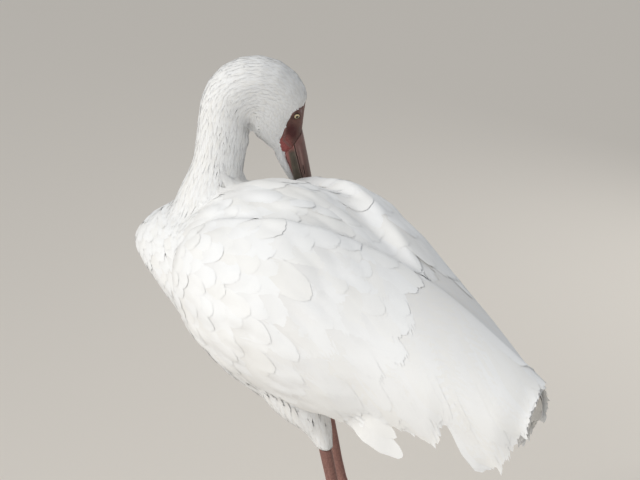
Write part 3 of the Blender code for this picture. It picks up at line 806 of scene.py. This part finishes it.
# The functions below give each feather's start and end (y, angle), and its width.
COVERT_ENDS, COVERT_ANGLES = (-0.112, 0.115), (-40, 62)  # of the rows, along the body and round
COVERT_SIZES = ((0.040, 0.055), (0.020, 0.016))  # length and width: first row's, and growth
COVERT_GAPS = (0.36, 0.60)  # from one to the next, as shares of length and of width
SCAPULAR_ROWS, SCAPULAR_ANGLES = np.arange(-0.100, 0.090, 0.030), (44, 8.5)
FRAYED_ROWS, FRAYED_ANGLES = (0.050, 0.080, 0.105), (-34, 70, 8.0)
TERTIAL_LAYERS = ((0.0075, 0), (0.0095, 7), (0.0120, 16))  # gap of tips, degrees over the hem


def covert_rows(surround, draw):
    """Rows of coverts from the wrist back."""
    first, last = COVERT_ENDS
    y, row = first, 0
    while y < last:
        grown = (y - first) / (last - first)
        length, width = (size + growth * grown for size, growth in COVERT_SIZES)
        step = width * COVERT_GAPS[1] / DEGREE
        lowest, highest = COVERT_ANGLES
        lowest = surround.hem_at(y) if y > HEM_STARTS else lowest + 8 * grown
        for angle in np.arange(lowest + step * (0.3 + 0.5 * (row % 2)), highest, step):
            start = draw.normal((y, angle), (0.003, 1.2))
            rise = draw.normal(12 * rising(angle, 0, 40) - 10 * grown, 1.5)
            size = length * draw.uniform(0.9, 1.15)
            end = (start[0] + size * 0.95, start[1] + rise * size / 0.08)
            yield start, end, width * draw.uniform(0.9, 1.15)
        y += length * COVERT_GAPS[0]
        row += 1


def scapular_rows(_, draw):
    """Long rounded feathers from the shoulder over the back."""
    first, step = SCAPULAR_ANGLES
    for row, y in enumerate(SCAPULAR_ROWS):
        for angle in np.arange(first + 4 * (row % 2), REAR_TOP, step):
            size = draw.uniform(0.075, 0.100)
            start = draw.normal((y, angle), (0.004, 1.5))
            end = (start[0] + size, min(angle + draw.normal(4, 3), REAR_TOP + 3))
            yield start, end, draw.uniform(0.032, 0.042)


def frayed_rows(surround, draw):
    """Loose-edged greater coverts and inner secondaries, between coverts and tertials."""
    first, last, step = FRAYED_ANGLES
    for row, y in enumerate(FRAYED_ROWS):
        for angle in np.arange(first + 5 * row, last, step):
            size = draw.uniform(0.085, 0.115)
            fall = 10 + 14 * rising(-angle, -60, 0)
            start = draw.normal((y, angle), (0.004, 1.5))
            tip_y = start[0] + size * 0.85
            tip = max(draw.normal(angle - fall, 3), surround.hem_at(tip_y) + 1)
            yield start, (tip_y, tip), draw.uniform(0.032, 0.044)


def tertial_rows(surround, draw):
    """Long feathers that droop over the tail, with their tips along the ragged hem."""
    first = HEM_STARTS + HEM_LEAD
    for layer, (gap, short) in enumerate(TERTIAL_LAYERS):
        for y, angle in surround.hem_places(gap):
            along = (y - first) / (surround.end - first)
            root_y = 0.040 + 0.150 * along + 0.008 * layer
            root = max(-8 + 94 * along**0.6 - 4 * layer, min(angle + 20, REAR_TOP))
            start = draw.normal((root_y, root), (0.004, 2))
            tip_y = draw.normal(y, 0.001)
            end = (tip_y, angle - 1.5 + short * draw.uniform(0.3, 1))
            yield start, end, draw.uniform(0.026, 0.034)


# Piece, kind of feather, its rows, and degrees that the feathers bow upwards
WING_LAYERS = (
    ("flight", TERTIAL, tertial_rows, 10),
    ("flight", FRAYED, frayed_rows, 5),
    ("coverts", COVERT, covert_rows, 2),
    ("scapulars", SCAPULAR, scapular_rows, 1),
)


def make_wing_coat(guide, side, material):
    """Tertials, coverts and scapulars of one folded wing."""
    draw = np.random.default_rng(20 + SIDES[side])
    surround = Surround(guide, side, draw)
    laid = [list(rows(surround, draw)) for _, _, rows, _ in WING_LAYERS]
    coats = {}
    for (part, kind, _, bow), rows in zip(WING_LAYERS, laid):
        pride = draw.uniform(0, 1, len(rows)) ** 2
        surround.lay(coats.setdefault(part, Coat()), kind, rows, bow, pride)
    for part, coat in coats.items():
        coat.build(f"coat_{part}_{side}", material)


def make_fan(guide, name, ends, bend, facing, width, pride, *look):
    """Long feathers between starts and tips, that bend upwards and all face one way."""
    paths = []
    for start, tip in ends:
        middle = start.lerp(tip, 0.5) + UP * bend
        paths.append([tuple(p) for p in interpolate_bezier(start, middle, middle, tip, 10)])
    paths = np.array(paths)
    normals = np.broadcast_to(np.array(facing), paths.shape)
    spots = np.array([guide.uv[guide.nearest(path[0])[2]] for path in paths])
    coat = Coat()
    coat.follow(TERTIAL, paths, normals, np.full(len(paths), width), spots, pride)
    coat.build(name, *look)


def make_tail_coat(guide, material, count=12):
    """Tail feathers under the hanging tertials."""
    low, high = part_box("tail")
    ends = []
    for share in (np.arange(count) - (count - 1) / 2) / ((count - 1) / 2):
        start = Vector((SHIFT.x, low.y + 0.01, high.z - 0.012)) + Vector((share * 0.020, 0, 0))
        back = high.y - 0.004 - 0.012 * share * share
        ends.append((start, Vector((SHIFT.x + share * 0.031, back, low.z + 0.004))))
    pride = np.random.default_rng(31).uniform(0, 1, count)
    make_fan(guide, "coat_tail", ends, 0.006, (0, 0.35, 0.94), 0.020, pride, material)


def make_primaries(guide, side, material, count=7):
    """Black flight feathers, folded under the tertials."""
    name, sign = f"primaries_{side}", SIDES[side]
    low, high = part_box(name)
    outer, inner = (high.x, low.x) if sign > 0 else (low.x, high.x)
    ends = []
    for share in np.arange(count) / (count - 1):
        x, x_tip = (outer + (inner - outer) * part for part in (0.35, 0.75 + 0.2 * share))
        start = Vector((x, low.y, high.z - 0.012 + 0.004 * share))
        tip = Vector((x_tip, high.y - 0.016 * share, low.z + 0.004 + 0.010 * share))
        ends.append((start, tip))
    pride = np.full(count, 0.5)
    make_fan(guide, f"coat_{name}", ends, 0.004, (0.75 * sign, 0.1, 0.65), 0.015, pride,
             material, "primary", (name,))


# ---- bare face, eyes and lids

FINE_VOXEL = 0.0008
EYE_PLACE = (0.0464, 0.0114, 0.0155)  # back from the bill's base, raised, and out
GAZE_AHEAD, GAZE_UP = 0.28, 0.18
EYE_RADIUS, CORNEA = 0.0068, 0.00022
IRIS_TURN, PUPIL_TURN = 0.58, 0.250  # angles from the middle of the gaze to their edges
EYE_RINGS = np.concatenate([np.linspace(0.02, 0.72, 30), np.linspace(0.80, 3.10, 22)])
EYE_SPOKES = 56
IRIS_RAYS = 9
OPENING = (0.0049, 0.0032)  # half length and half height of the opening between the lids
LID_REACH, LID_THICKNESS = 0.0080, 0.0009
LID_RINGS, LID_SPOKES = 26, 84
LID_SHELL = EYE_RADIUS + 0.00050  # radius of the lids where they lie on the eyeball
LID_BLEND, LID_SINK = 0.0009, 0.0004  # how softly they leave it, and how deep their edge ends
RIM_HEIGHTS = (-0.0002, 0.00035)  # of the lids' two innermost rings, over the eyeball
CREASE, CREASE_HEIGHT = 0.00125, 0.00020
CREASES_START, CREASES_END = (0.0005, 0.0010), (0.0056, 0.0078)  # from the rim; from the middle
CAST_LIFT = 0.02
JAW_FOLD = ((0.033, -0.004), (0.012, -0.010), (-0.004, -0.004))  # back, raise
FOLD_HEIGHT, FURROW, FURROW_DEPTH = 0.00045, 0.0032, 0.00035
SUNK_EDGE = 0.0012  # depth of the mask's feathered part under the skin
PAPILLA, PAPILLA_HEIGHT, WRINKLE, WRINKLE_HEIGHT = 0.0017, 0.00022, 0.0030, 0.00016
GAPE, GAPE_SIZE = (0.022, 0.002), (0.016, 0.0085)  # the dark skin at the corner of the mouth


def pebbles(points, size, stretch=None):
    """Uneven height of rough skin or horn, 0 to 1, from cells drawn out along the bill."""
    if stretch is not None:
        points = points @ np.stack([HEAD_CROWN, HEAD_ACROSS, BILL_DIRECTION * stretch]).T
    return np.array([cells.voronoi(Vector(p) / size)[0][0] for p in points])


def line_gap(back, raise_, line):
    """Distance from places in the head's side view to a bent line."""
    gaps = []
    for (b0, r0), (b1, r1) in zip(line[:-1], line[1:]):
        run = np.array((b1 - b0, r1 - r0))
        share = ((back - b0) * run[0] + (raise_ - r0) * run[1]) / run.dot(run)
        share = np.clip(share, 0, 1)
        gaps.append(np.hypot(back - b0 - run[0] * share, raise_ - r0 - run[1] * share))
    return np.min(gaps, axis=0)


def face_fields(mesh, rim):
    """Where the bare skin is dark, red or grey by its place in the head, and its eye's rim."""
    back, raise_, _ = head_places(vertices_of(mesh))
    gape = np.hypot((back - GAPE[0]) / GAPE_SIZE[0], (raise_ - GAPE[1]) / GAPE_SIZE[1])
    add_fields(
        mesh,
        dark_red=fading(gape, 0.35, 1.15),
        pink=rising(-raise_, -0.002, 0.012) * fading(back, 0.010, 0.026),
        brow=rising(raise_, 0.010, 0.020),
        fold=fading(line_gap(back, raise_, JAW_FOLD), 0.0004, 0.0022),
        rim=rim,
    )


def make_mask(material):
    """Bare skin of the face: papillae, a fold along the jaw, and fine creases."""
    mesh = united(["face"], FINE_VOXEL, 4)
    places, normals = vertices_of(mesh), normals_of(mesh)
    back, raise_, _ = head_places(places)
    fold = line_gap(back, raise_, JAW_FOLD)
    height = FOLD_HEIGHT * fading(fold, 0.0002, 0.0024)
    height -= SUNK_EDGE * rising(JAW_LINE - raise_, -0.0003, 0.0010)
    height -= FURROW_DEPTH * fading(np.abs(fold - FURROW), 0.0002, 0.0014)
    height -= PAPILLA_HEIGHT * pebbles(places, PAPILLA)
    height -= WRINKLE_HEIGHT * pebbles(places, WRINKLE, 0.35)
    move_vertices(mesh, places + normals * height[:, None])
    face_fields(mesh, np.zeros(len(places)))
    add_object("mask", mesh, material, "bare_face", "face")


def eye_frame(side):
    """Middle of an eye, the way it looks, and the two axes of its opening."""
    back, raise_, out = EYE_PLACE
    across = HEAD_ACROSS * SIDES[side]
    centre = BILL_BASE - BILL_DIRECTION * back + HEAD_CROWN * raise_ - across * out
    gaze = (-across + BILL_DIRECTION * GAZE_AHEAD + HEAD_CROWN * GAZE_UP).normalized()
    long_axis = (BILL_DIRECTION - gaze * BILL_DIRECTION.dot(gaze)).normalized()
    return [np.array(v) for v in (centre, gaze, long_axis, gaze.cross(long_axis))]


def polar_faces(rings, spokes):
    """Quads between rings of a polar grid, each ring closed on itself."""
    ring, spoke = np.meshgrid(np.arange(rings - 1), np.arange(spokes), indexing="ij")
    here, after = ring * spokes + spoke, ring * spokes + (spoke + 1) % spokes
    return np.stack([here, here + spokes, after + spokes, after], -1).reshape(-1, 4)


def make_eye(side, material):
    """Eyeball with a slightly domed cornea, built in rings round its gaze."""
    centre, gaze, long_axis, high_axis = eye_frame(side)
    turn = np.repeat(EYE_RINGS, EYE_SPOKES)
    spoke = np.tile(np.arange(EYE_SPOKES) * 2 * math.pi / EYE_SPOKES, len(EYE_RINGS))
    radius = EYE_RADIUS + CORNEA * fading(turn, IRIS_TURN * 0.5, IRIS_TURN * 1.15)
    across = np.cos(spoke)[:, None] * long_axis + np.sin(spoke)[:, None] * high_axis
    ball = np.cos(turn)[:, None] * gaze + np.sin(turn)[:, None] * across
    places = centre + ball * radius[:, None]
    faces = polar_faces(len(EYE_RINGS), EYE_SPOKES).tolist()
    faces.append(list(range(EYE_SPOKES)))
    faces.append(list(range(len(places) - 1, len(places) - EYE_SPOKES - 1, -1)))
    mesh = bpy.data.meshes.new("eye")
    mesh.from_pydata(places.tolist(), [], faces)
    rays = {"ray_x": np.cos(spoke) * IRIS_RAYS, "ray_y": np.sin(spoke) * IRIS_RAYS}
    add_fields(mesh, turn=turn, **rays)
    add_object(f"eyeball_{side}", mesh, material, "eye", f"eye_{side}")


def lid_height(reach, opening, angle, ground):
    """Height of a lid over the eye's middle: on the eyeball, then on the mask, with creases."""
    dome = math.sqrt(max(LID_SHELL**2 - reach**2, 0))
    height = 0.5 * (dome + ground + math.hypot(dome - ground, LID_BLEND))
    sunk = float(rising(reach, LID_REACH * 0.72, LID_REACH))
    height = blend(height, ground - LID_SINK, sunk)
    from_rim = reach - opening
    window = rising(from_rim, *CREASES_START) * fading(reach, *CREASES_END)
    wave = math.sin(from_rim / CREASE * 2 * math.pi + 0.8 * math.sin(angle * 3))
    return height + CREASE_HEIGHT * window * wave


def make_lids(side, guide, material):
    """Lids round an eye: a rolled rim on the eyeball, folds, and an edge sunk in the mask."""
    centre, gaze, long_axis, high_axis = eye_frame(side)
    half_long, half_high = OPENING
    angles = np.arange(LID_SPOKES) * 2 * math.pi / LID_SPOKES
    places, rims = [], []
    for ring, share in enumerate(np.linspace(0, 1, LID_RINGS) ** 1.25):
        for angle in angles:
            opening = 1 / math.hypot(math.cos(angle) / half_long, math.sin(angle) / half_high)
            opening *= 1 + 0.10 * max(0, math.cos(angle)) ** 6
            reach = opening + (LID_REACH - opening) * share
            across = math.cos(angle) * long_axis + math.sin(angle) * high_axis
            flat = centre + across * reach
            above = Vector(flat + gaze * CAST_LIFT)
            hit = guide.tree.ray_cast(above, Vector(-gaze), CAST_LIFT * 2)
            ground = CAST_LIFT - hit[3] if hit[0] is not None else -CAST_LIFT / 2
            height = lid_height(reach, opening, angle, ground)
            if ring < len(RIM_HEIGHTS):
                height = math.sqrt(EYE_RADIUS**2 - reach**2) + RIM_HEIGHTS[ring]
            places.append(flat + gaze * height)
            rims.append(fading(reach - opening, 0.0003, 0.0009))
    count = len(places)
    under = [place - gaze * LID_THICKNESS for place in places[LID_SPOKES:-LID_SPOKES]]
    top = polar_faces(LID_RINGS, LID_SPOKES)
    below = top.copy()
    inner = (below >= LID_SPOKES) & (below < count - LID_SPOKES)
    below[inner] += count - LID_SPOKES
    faces = np.concatenate([top, below[:, ::-1]]).tolist()
    mesh = bpy.data.meshes.new("lids")
    mesh.from_pydata([tuple(p) for p in places + under], [], faces)
    turn_outwards(mesh)
    face_fields(mesh, rims + [1.0] * len(under))
    add_object(f"lids_{side}", mesh, material, "bare_face")


def turn_outwards(mesh):
    """Turns all faces of a closed mesh outwards."""
    shape = bmesh.new()
    shape.from_mesh(mesh)
    bmesh.ops.recalc_face_normals(shape, faces=shape.faces)
    shape.to_mesh(mesh)
    shape.free()


# ---- bill

GROOVE = (0.006, 0.062)  # how far ahead of the bill's base the nostril's groove runs
GROOVE_DEPTH, SLIT_DEPTH, KEEL_HEIGHT = 0.0008, 0.0010, 0.0016
GROOVE_RAISE, GROOVE_SLOPE = 0.0052, -0.020  # of its middle at the bill's base, and from there
NOSTRIL = (0.034, 0.050)
GROWTH_LINE, GROWTH_STRETCH, GROWTH_RELIEF = 0.0022, 0.08, 0.00010


def make_bill(upper, material):
    """One mandible: growth lines, and the nostril's groove above or a keel below."""
    name = "bill_upper" if upper else "bill_lower"
    mesh = united([name], FINE_VOXEL, 5)
    places, normals = vertices_of(mesh), normals_of(mesh)
    back, raise_, out = head_places(places)
    ahead = -back
    side = rising(np.abs(out), 0.0015, 0.0040) * upper
    off = np.abs(raise_ - (GROOVE_RAISE + GROOVE_SLOPE * ahead))
    window = rising(ahead, GROOVE[0] - 0.006, GROOVE[0] + 0.006)
    window *= fading(ahead, GROOVE[1] - 0.02, GROOVE[1])
    groove = fading(off, 0.0006, 0.0022) * window * side
    slit = fading(off, 0.0002, 0.0009) * side
    slit *= rising(ahead, NOSTRIL[0] - 0.001, NOSTRIL[0] + 0.002)
    slit *= fading(ahead, NOSTRIL[1] - 0.002, NOSTRIL[1] + 0.001)
    if upper:
        height = -(GROOVE_DEPTH * groove + SLIT_DEPTH * slit)
    else:
        height = KEEL_HEIGHT * rising(-raise_, 0.004, 0.009) * fading(ahead, 0.06, 0.11)
    height -= GROWTH_RELIEF * pebbles(places, GROWTH_LINE, GROWTH_STRETCH)
    move_vertices(mesh, places + normals * height[:, None])
    edge = fading(np.abs(raise_), 0.0006, 0.0022)
    keel = rising(-raise_ - 0.05 * ahead, 0.0060, 0.0095)
    part = np.full(len(places), float(upper))
    add_fields(mesh, ahead=ahead, upper=part, edge=edge, keel=keel, groove=groove, slit=slit)
    add_object(name.replace("bill", "mandible"), mesh, material, "bill", name)


# ---- legs and claws

TOES = ("middle", "inner", "outer", "hind")
LEG_VOXEL, CLAW_VOXEL = 0.0010, 0.0004
SCUTE_LENGTH, SCUTE_RELIEF = 0.0050, 0.00035
SCALE_SIZE, SCALE_RELIEF = 0.0021, 0.00028


def plates(distance):
    """Height of a row of plates along a distance, 0 in the grooves between them."""
    share = (distance / SCUTE_LENGTH) % 1
    return rising(share, 0, 0.22) * fading(share, 0.86, 1.0)


def make_leg(side, material):
    """Shin, tarsus and toes in one skin, with plates in front and small scales elsewhere."""
    names = [f"shin_{side}", f"tarsus_{side}", *(f"toe_{toe}_{side}" for toe in TOES)]
    mesh = united(names, LEG_VOXEL, 10)
    places, normals = vertices_of(mesh), normals_of(mesh)
    low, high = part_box(f"tarsus_{side}")
    bones = vertices_of(NODES[f"tarsus_{side}"].data)
    ankle = bones[bones[:, 2] < low.z + 0.01][:, :2].mean(0)
    foot = fading(places[:, 2], 0.014, 0.026)
    shin = rising(places[:, 2], high.z + 0.010, high.z + 0.040)
    front = rising(-normals[:, 1], 0.25, 0.6) * (1 - foot)
    above = rising(normals[:, 2], 0.1, 0.5) * foot
    reach = np.hypot(*(places[:, :2] - ankle).T)
    row = plates(places[:, 2]) * front + plates(reach * 1.15) * above
    share = front + above
    scales = 1 - pebbles(places, SCALE_SIZE) ** 0.7
    relief = (row - 1) * share * SCUTE_RELIEF + (scales - 1) * (1 - share) * SCALE_RELIEF
    sole = rising(-normals[:, 2], 0.5, 0.8) * (places[:, 2] < 0.002)
    places = places + normals * (relief * (1 - sole))[:, None]
    places[:, 2] = np.maximum(places[:, 2], 0)
    move_vertices(mesh, places)
    groove = np.clip((1 - row) * share + (1 - scales) * (1 - share) * 0.9, 0, 1)
    add_fields(mesh, groove=groove, foot=foot, shin=shin)
    add_object(f"leg_{side}", mesh, material, "leg", *names)


def make_claws(side, material):
    """The four claws of a foot, none of them under the floor."""
    for toe in TOES:
        name = f"claw_{toe}_{side}"
        mesh = united([name], CLAW_VOXEL, 4)
        places = vertices_of(mesh)
        places[:, 2] = np.maximum(places[:, 2], 0)
        move_vertices(mesh, places)
        add_object(f"nail_{toe}_{side}", mesh, material, "claw", name)


# ---- materials


class Surface:
    """A material under construction, with short ways to add and join nodes."""

    def __init__(self, name, colour, roughness, specular=None, sheen=None):
        self.material = bpy.data.materials.new(name)
        self.material.use_nodes = True
        self.tree = self.material.node_tree
        self.inputs = self.tree.nodes["Principled BSDF"].inputs
        settings = {"Base Color": (*colour, 1), "Roughness": roughness,
                    "Specular IOR Level": specular, "Sheen Weight": sheen}
        for key, value in settings.items():
            if value is not None:
                self.inputs[key].default_value = value

    def node(self, kind, **settings):
        made = self.tree.nodes.new(kind)
        for key, value in settings.items():
            if key in made.inputs:
                made.inputs[key].default_value = value
            else:
                setattr(made, key, value)
        return made

    def join(self, sockets, *values):
        """Gives each socket its value: a number, a colour, or another socket to link."""
        for socket, value in zip(sockets, values):
            if isinstance(value, bpy.types.NodeSocket):
                self.tree.links.new(value, socket)
            else:
                socket.default_value = (*value, 1) if isinstance(value, tuple) else value

    def mix(self, share, first, second):
        """Colour between two, by a socket's share."""
        made = self.node("ShaderNodeMix", data_type="RGBA")
        self.join((made.inputs[0], *made.inputs[6:8]), share, first, second)
        return made.outputs[2]

    def ramp(self, source, start, end, low=0, high=1):
        made = self.node("ShaderNodeMapRange")
        self.join(made.inputs[:5], source, start, end, low, high)
        return made.outputs[0]

    def between(self, source, start, end, first, second):
        """The first colour where a source is under start, and the second where over end."""
        return self.mix(self.ramp(source, start, end), first, second)

    def maths(self, operation, *values):
        made = self.node("ShaderNodeMath", operation=operation)
        self.join(made.inputs, *values)
        return made.outputs[0]

    def field(self, name):
        """A number that the mesh stores for each vertex."""
        return self.node("ShaderNodeAttribute", attribute_name=name).outputs["Fac"]

    def texture(self, kind, output, **settings):
        """A pattern in the object's own space."""
        made = self.node(f"ShaderNodeTex{kind}", **settings)
        place = self.node("ShaderNodeTexCoord").outputs["Object"]
        self.join([made.inputs["Vector"]], place)
        return made.outputs[output]

    def noise(self, scale, detail):
        return self.texture("Noise", "Fac", Scale=scale, Detail=detail)

    def overlay(self, colour, *layers):
        """Colour with shades laid over it, each as far as a field of the mesh says."""
        for name, strength, shade in layers:
            share = self.field(name)
            if strength < 1:
                share = self.ramp(share, 0, 1, 0, strength)
            colour = self.mix(share, colour, shade)
        return colour

    def finish(self, colour, relief=None, strength=0, distance=0, roughness=None):
        """Links the colour, a bump by relief, and roughness between two by a source."""
        self.join([self.inputs["Base Color"]], colour)
        if relief is not None:
            bump = self.node("ShaderNodeBump", Strength=strength, Distance=distance)
            self.join([bump.inputs["Height"], self.inputs["Normal"]], relief, bump.outputs[0])
        if roughness is not None:
            source, smooth, rough = roughness
            self.join([self.inputs["Roughness"]], self.ramp(source, 0.3, 0.7, smooth, rough))
        return self.material


BARBS, BARB_SLOPE = 64, -0.45


def plumage_material(name, tip, root):
    """Feathers: paler to the tip, with painted shade darkening each vane towards its root where
    others overlap it; a fine herringbone of barbs, and a little unevenness.
    """
    surface = Surface(name, tip, 0.85, specular=0.25, sheen=0.15)
    parts = surface.node("ShaderNodeSeparateXYZ")
    surface.join(parts.inputs, surface.node("ShaderNodeUVMap", uv_map="barbs").outputs[0])
    across, along, _ = parts.outputs
    slope = surface.maths("MULTIPLY_ADD", surface.maths("ABSOLUTE", across), BARB_SLOPE, along)
    barbs = surface.maths("SINE", surface.maths("MULTIPLY", slope, BARBS * 6.283))
    # painted shade: each vane darkens from the tip colour to the root colour, standing in for the
    # shade under the feathers that overlap it
    colour = surface.between(along, 0.15, 0.75, root, tip)
    colour = surface.between(surface.field("tone"), 0.4, 3.0, colour, (0.86, 0.82, 0.73))
    return surface.finish(colour, barbs, 0.08, 0.0002)


def skin_material():
    """Down and skin between the feathers."""
    surface = Surface("down", (0.80, 0.79, 0.77), 0.9, sheen=0.2)
    noise = surface.noise(260, 5)
    colour = surface.mix(noise, (0.82, 0.81, 0.79), (0.90, 0.90, 0.89))
    return surface.finish(colour, noise, 0.3, 0.001)


def bare_face_material():
    """Rough red-brown skin: darkest before the eye, pink at the jaw, greyer on the brow."""
    surface = Surface("bare_face", (0.14, 0.045, 0.035), 0.5, specular=0.35)
    blotches = surface.noise(170, 6)
    grain = surface.texture("Voronoi", "Distance", Scale=900)
    colour = surface.between(blotches, 0.35, 0.65, (0.105, 0.046, 0.036), (0.190, 0.085, 0.066))
    colour = surface.overlay(
        colour,
        ("brow", 1, (0.200, 0.100, 0.082)),
        ("dark_red", 1, (0.070, 0.010, 0.009)),
        ("pink", 1, (0.400, 0.105, 0.095)),
        ("fold", 1, (0.260, 0.120, 0.105)),
        ("rim", 1, (0.018, 0.010, 0.009)),
    )
    spots = surface.ramp(surface.ramp(grain, 0.25, 0.75), 0, 1, 0, 0.35)
    colour = surface.mix(spots, colour, (0.035, 0.012, 0.010))
    return surface.finish(colour, grain, 0.35, 0.0004, (blotches, 0.42, 0.62))


def eye_material():
    """Wet eye: black pupil, pale yellow iris with fine rays, and a dark edge."""
    surface = Surface("eye", (0.6, 0.5, 0.3), 0.06, specular=0.3)
    place = surface.node("ShaderNodeCombineXYZ")
    surface.join(place.inputs, *(surface.field(name) for name in ("ray_x", "ray_y", "turn")))
    rays = surface.node("ShaderNodeTexNoise", Scale=1, Detail=4)
    surface.join([rays.inputs["Vector"]], place.outputs[0])
    iris = surface.between(rays.outputs["Fac"], 0.3, 0.7, (0.50, 0.36, 0.19), (0.78, 0.68, 0.46))
    turn = surface.field("turn")
    edge = surface.between(turn, IRIS_TURN * 0.82, IRIS_TURN, iris, (0.05, 0.03, 0.02))
    pupil = (0.004, 0.004, 0.004)
    return surface.finish(surface.between(turn, PUPIL_TURN * 0.9, PUPIL_TURN * 1.1, pupil, edge))


def leg_material():
    """Dull pinkish-red scaly skin, darker in the grooves and dusty on the feet."""
    surface = Surface("leg", (0.33, 0.12, 0.10), 0.55, specular=0.35)
    blotches = surface.noise(45, 6)
    colour = surface.between(blotches, 0.35, 0.65, (0.250, 0.108, 0.086), (0.370, 0.190, 0.155))
    colour = surface.overlay(
        colour,
        ("shin", 0.5, (0.36, 0.21, 0.17)),
        ("foot", 0.45, (0.230, 0.125, 0.100)),
        ("groove", 0.75, (0.120, 0.045, 0.038)),
    )
    return surface.finish(colour, surface.noise(700, 3), 0.3, 0.0003, (blotches, 0.45, 0.65))


def claw_material():
    """Dark horn with paler streaks."""
    surface = Surface("claw", (0.05, 0.04, 0.035), 0.38)
    streaks = surface.noise(420, 5)
    colour = surface.between(streaks, 0.3, 0.7, (0.030, 0.024, 0.020), (0.110, 0.088, 0.070))
    return surface.finish(colour, streaks, 0.3, 0.0003)


def bill_material():
    """Horn of the bill: reddish above, olive-brown below, pale along groove and edge."""
    surface = Surface("bill", (0.16, 0.06, 0.05), 0.42)
    streaks, ahead = surface.noise(120, 5), surface.field("ahead")
    above = surface.between(streaks, 0.3, 0.7, (0.130, 0.054, 0.045), (0.205, 0.098, 0.084))
    above = surface.between(ahead, 0.0, 0.09, above, (0.105, 0.068, 0.052))
    below = surface.between(streaks, 0.3, 0.7, (0.072, 0.058, 0.040), (0.120, 0.098, 0.070))
    below = surface.between(ahead, 0.012, 0.0, below, (0.360, 0.100, 0.090))
    below = surface.overlay(below, ("keel", 0.8, (0.380, 0.125, 0.110)))
    colour = surface.overlay(
        surface.mix(surface.field("upper"), below, above),
        ("edge", 0.55, (0.33, 0.21, 0.18)),
        ("groove", 0.5, (0.36, 0.22, 0.19)),
        ("slit", 1, (0.02, 0.012, 0.01)),
    )
    return surface.finish(colour, streaks, 0.25, 0.0004, (streaks, 0.32, 0.55))


# ---- camera, light and floor

VIEW_TARGET = Vector((0, 0.03, 0.68)) + SHIFT
VIEW_AZIMUTH, VIEW_ELEVATION, VIEW_DISTANCE = math.radians(125), math.radians(23), 1.35
LENS = 67.5
SUN_DIRECTION = Vector((0.58, -0.42, 0.70))
SUN = {"energy": 1.25, "angle": math.radians(22), "color": (1.0, 0.97, 0.92)}
PANELS = (
    ("window", Vector((0.93, 0.05, 0.36)), 17),
    ("fill", Vector((-0.90, 0.20, 0.30)), 9),
)
PANEL_DISTANCE, PANEL_SIZE = 2.0, 1.6
ROOM_COLOUR, ROOM_STRENGTH = (0.88, 0.93, 1.0, 1), 0.36
FLOOR_SIZE, FLOOR_COLOUR = 14, (0.76, 0.71, 0.64)


def aim(data, location, back):
    """Puts a camera or lamp in the scene, looking against a direction."""
    obj = bpy.data.objects.new(data.name, data)
    obj.location = location
    obj.rotation_euler = back.to_track_quat("Z", "Y").to_euler()
    bpy.context.scene.collection.objects.link(obj)
    return obj


def add_lamp(name, kind, location, back, **settings):
    data = bpy.data.lights.new(name, kind)
    for key, value in settings.items():
        setattr(data, key, value)
    aim(data, location, back)


def make_camera():
    flat, turn = math.cos(VIEW_ELEVATION), VIEW_AZIMUTH
    back = Vector((math.sin(turn) * flat, -math.cos(turn) * flat, math.sin(VIEW_ELEVATION)))
    data = bpy.data.cameras.new("camera")
    data.sensor_width, data.lens = 36, LENS
    bpy.context.scene.camera = aim(data, VIEW_TARGET + back * VIEW_DISTANCE, back)


def make_lights():
    """A soft sun from the upper left, a wide panel on each side, and a pale room."""
    add_lamp("sun", "SUN", (0, 0, 0), SUN_DIRECTION, **SUN)
    for name, back, energy in PANELS:
        location = VIEW_TARGET + back.normalized() * PANEL_DISTANCE
        add_lamp(name, "AREA", location, back, energy=energy, size=PANEL_SIZE)
    world = bpy.data.worlds.new("room")
    world.use_nodes = True
    background = world.node_tree.nodes["Background"]
    background.inputs[0].default_value = ROOM_COLOUR
    background.inputs[1].default_value = ROOM_STRENGTH
    bpy.context.scene.world = world
    bpy.context.scene.view_settings.view_transform = "Standard"


def make_floor():
    bpy.ops.mesh.primitive_plane_add(size=FLOOR_SIZE)
    floor = bpy.context.object
    floor.name = "floor"
    floor.data.materials.append(Surface("floor", FLOOR_COLOUR, 0.9).material)


# ---- the whole

# the second colour of each plumage is painted shade at the feathers' roots
WHITE = plumage_material("plumage", (0.91, 0.91, 0.90), (0.82, 0.81, 0.79))
BLACK = plumage_material("primaries", (0.020, 0.019, 0.018), (0.012, 0.012, 0.012))

make_camera()
make_lights()
make_floor()
GUIDE = make_skin(skin_material())
make_small_coats(GUIDE, WHITE)
for wing_side in SIDES:
    make_wing_coat(GUIDE, wing_side, WHITE)
    make_primaries(GUIDE, wing_side, BLACK)
make_tail_coat(GUIDE, WHITE)
BARE_FACE, EYE, BILL = bare_face_material(), eye_material(), bill_material()
make_mask(BARE_FACE)
for eye_side in SIDES:
    make_eye(eye_side, EYE)
    make_lids(eye_side, GUIDE, BARE_FACE)
for is_upper in (True, False):
    make_bill(is_upper, BILL)
LEG, CLAW = leg_material(), claw_material()
for leg_side in SIDES:
    make_leg(leg_side, LEG)
    make_claws(leg_side, CLAW)
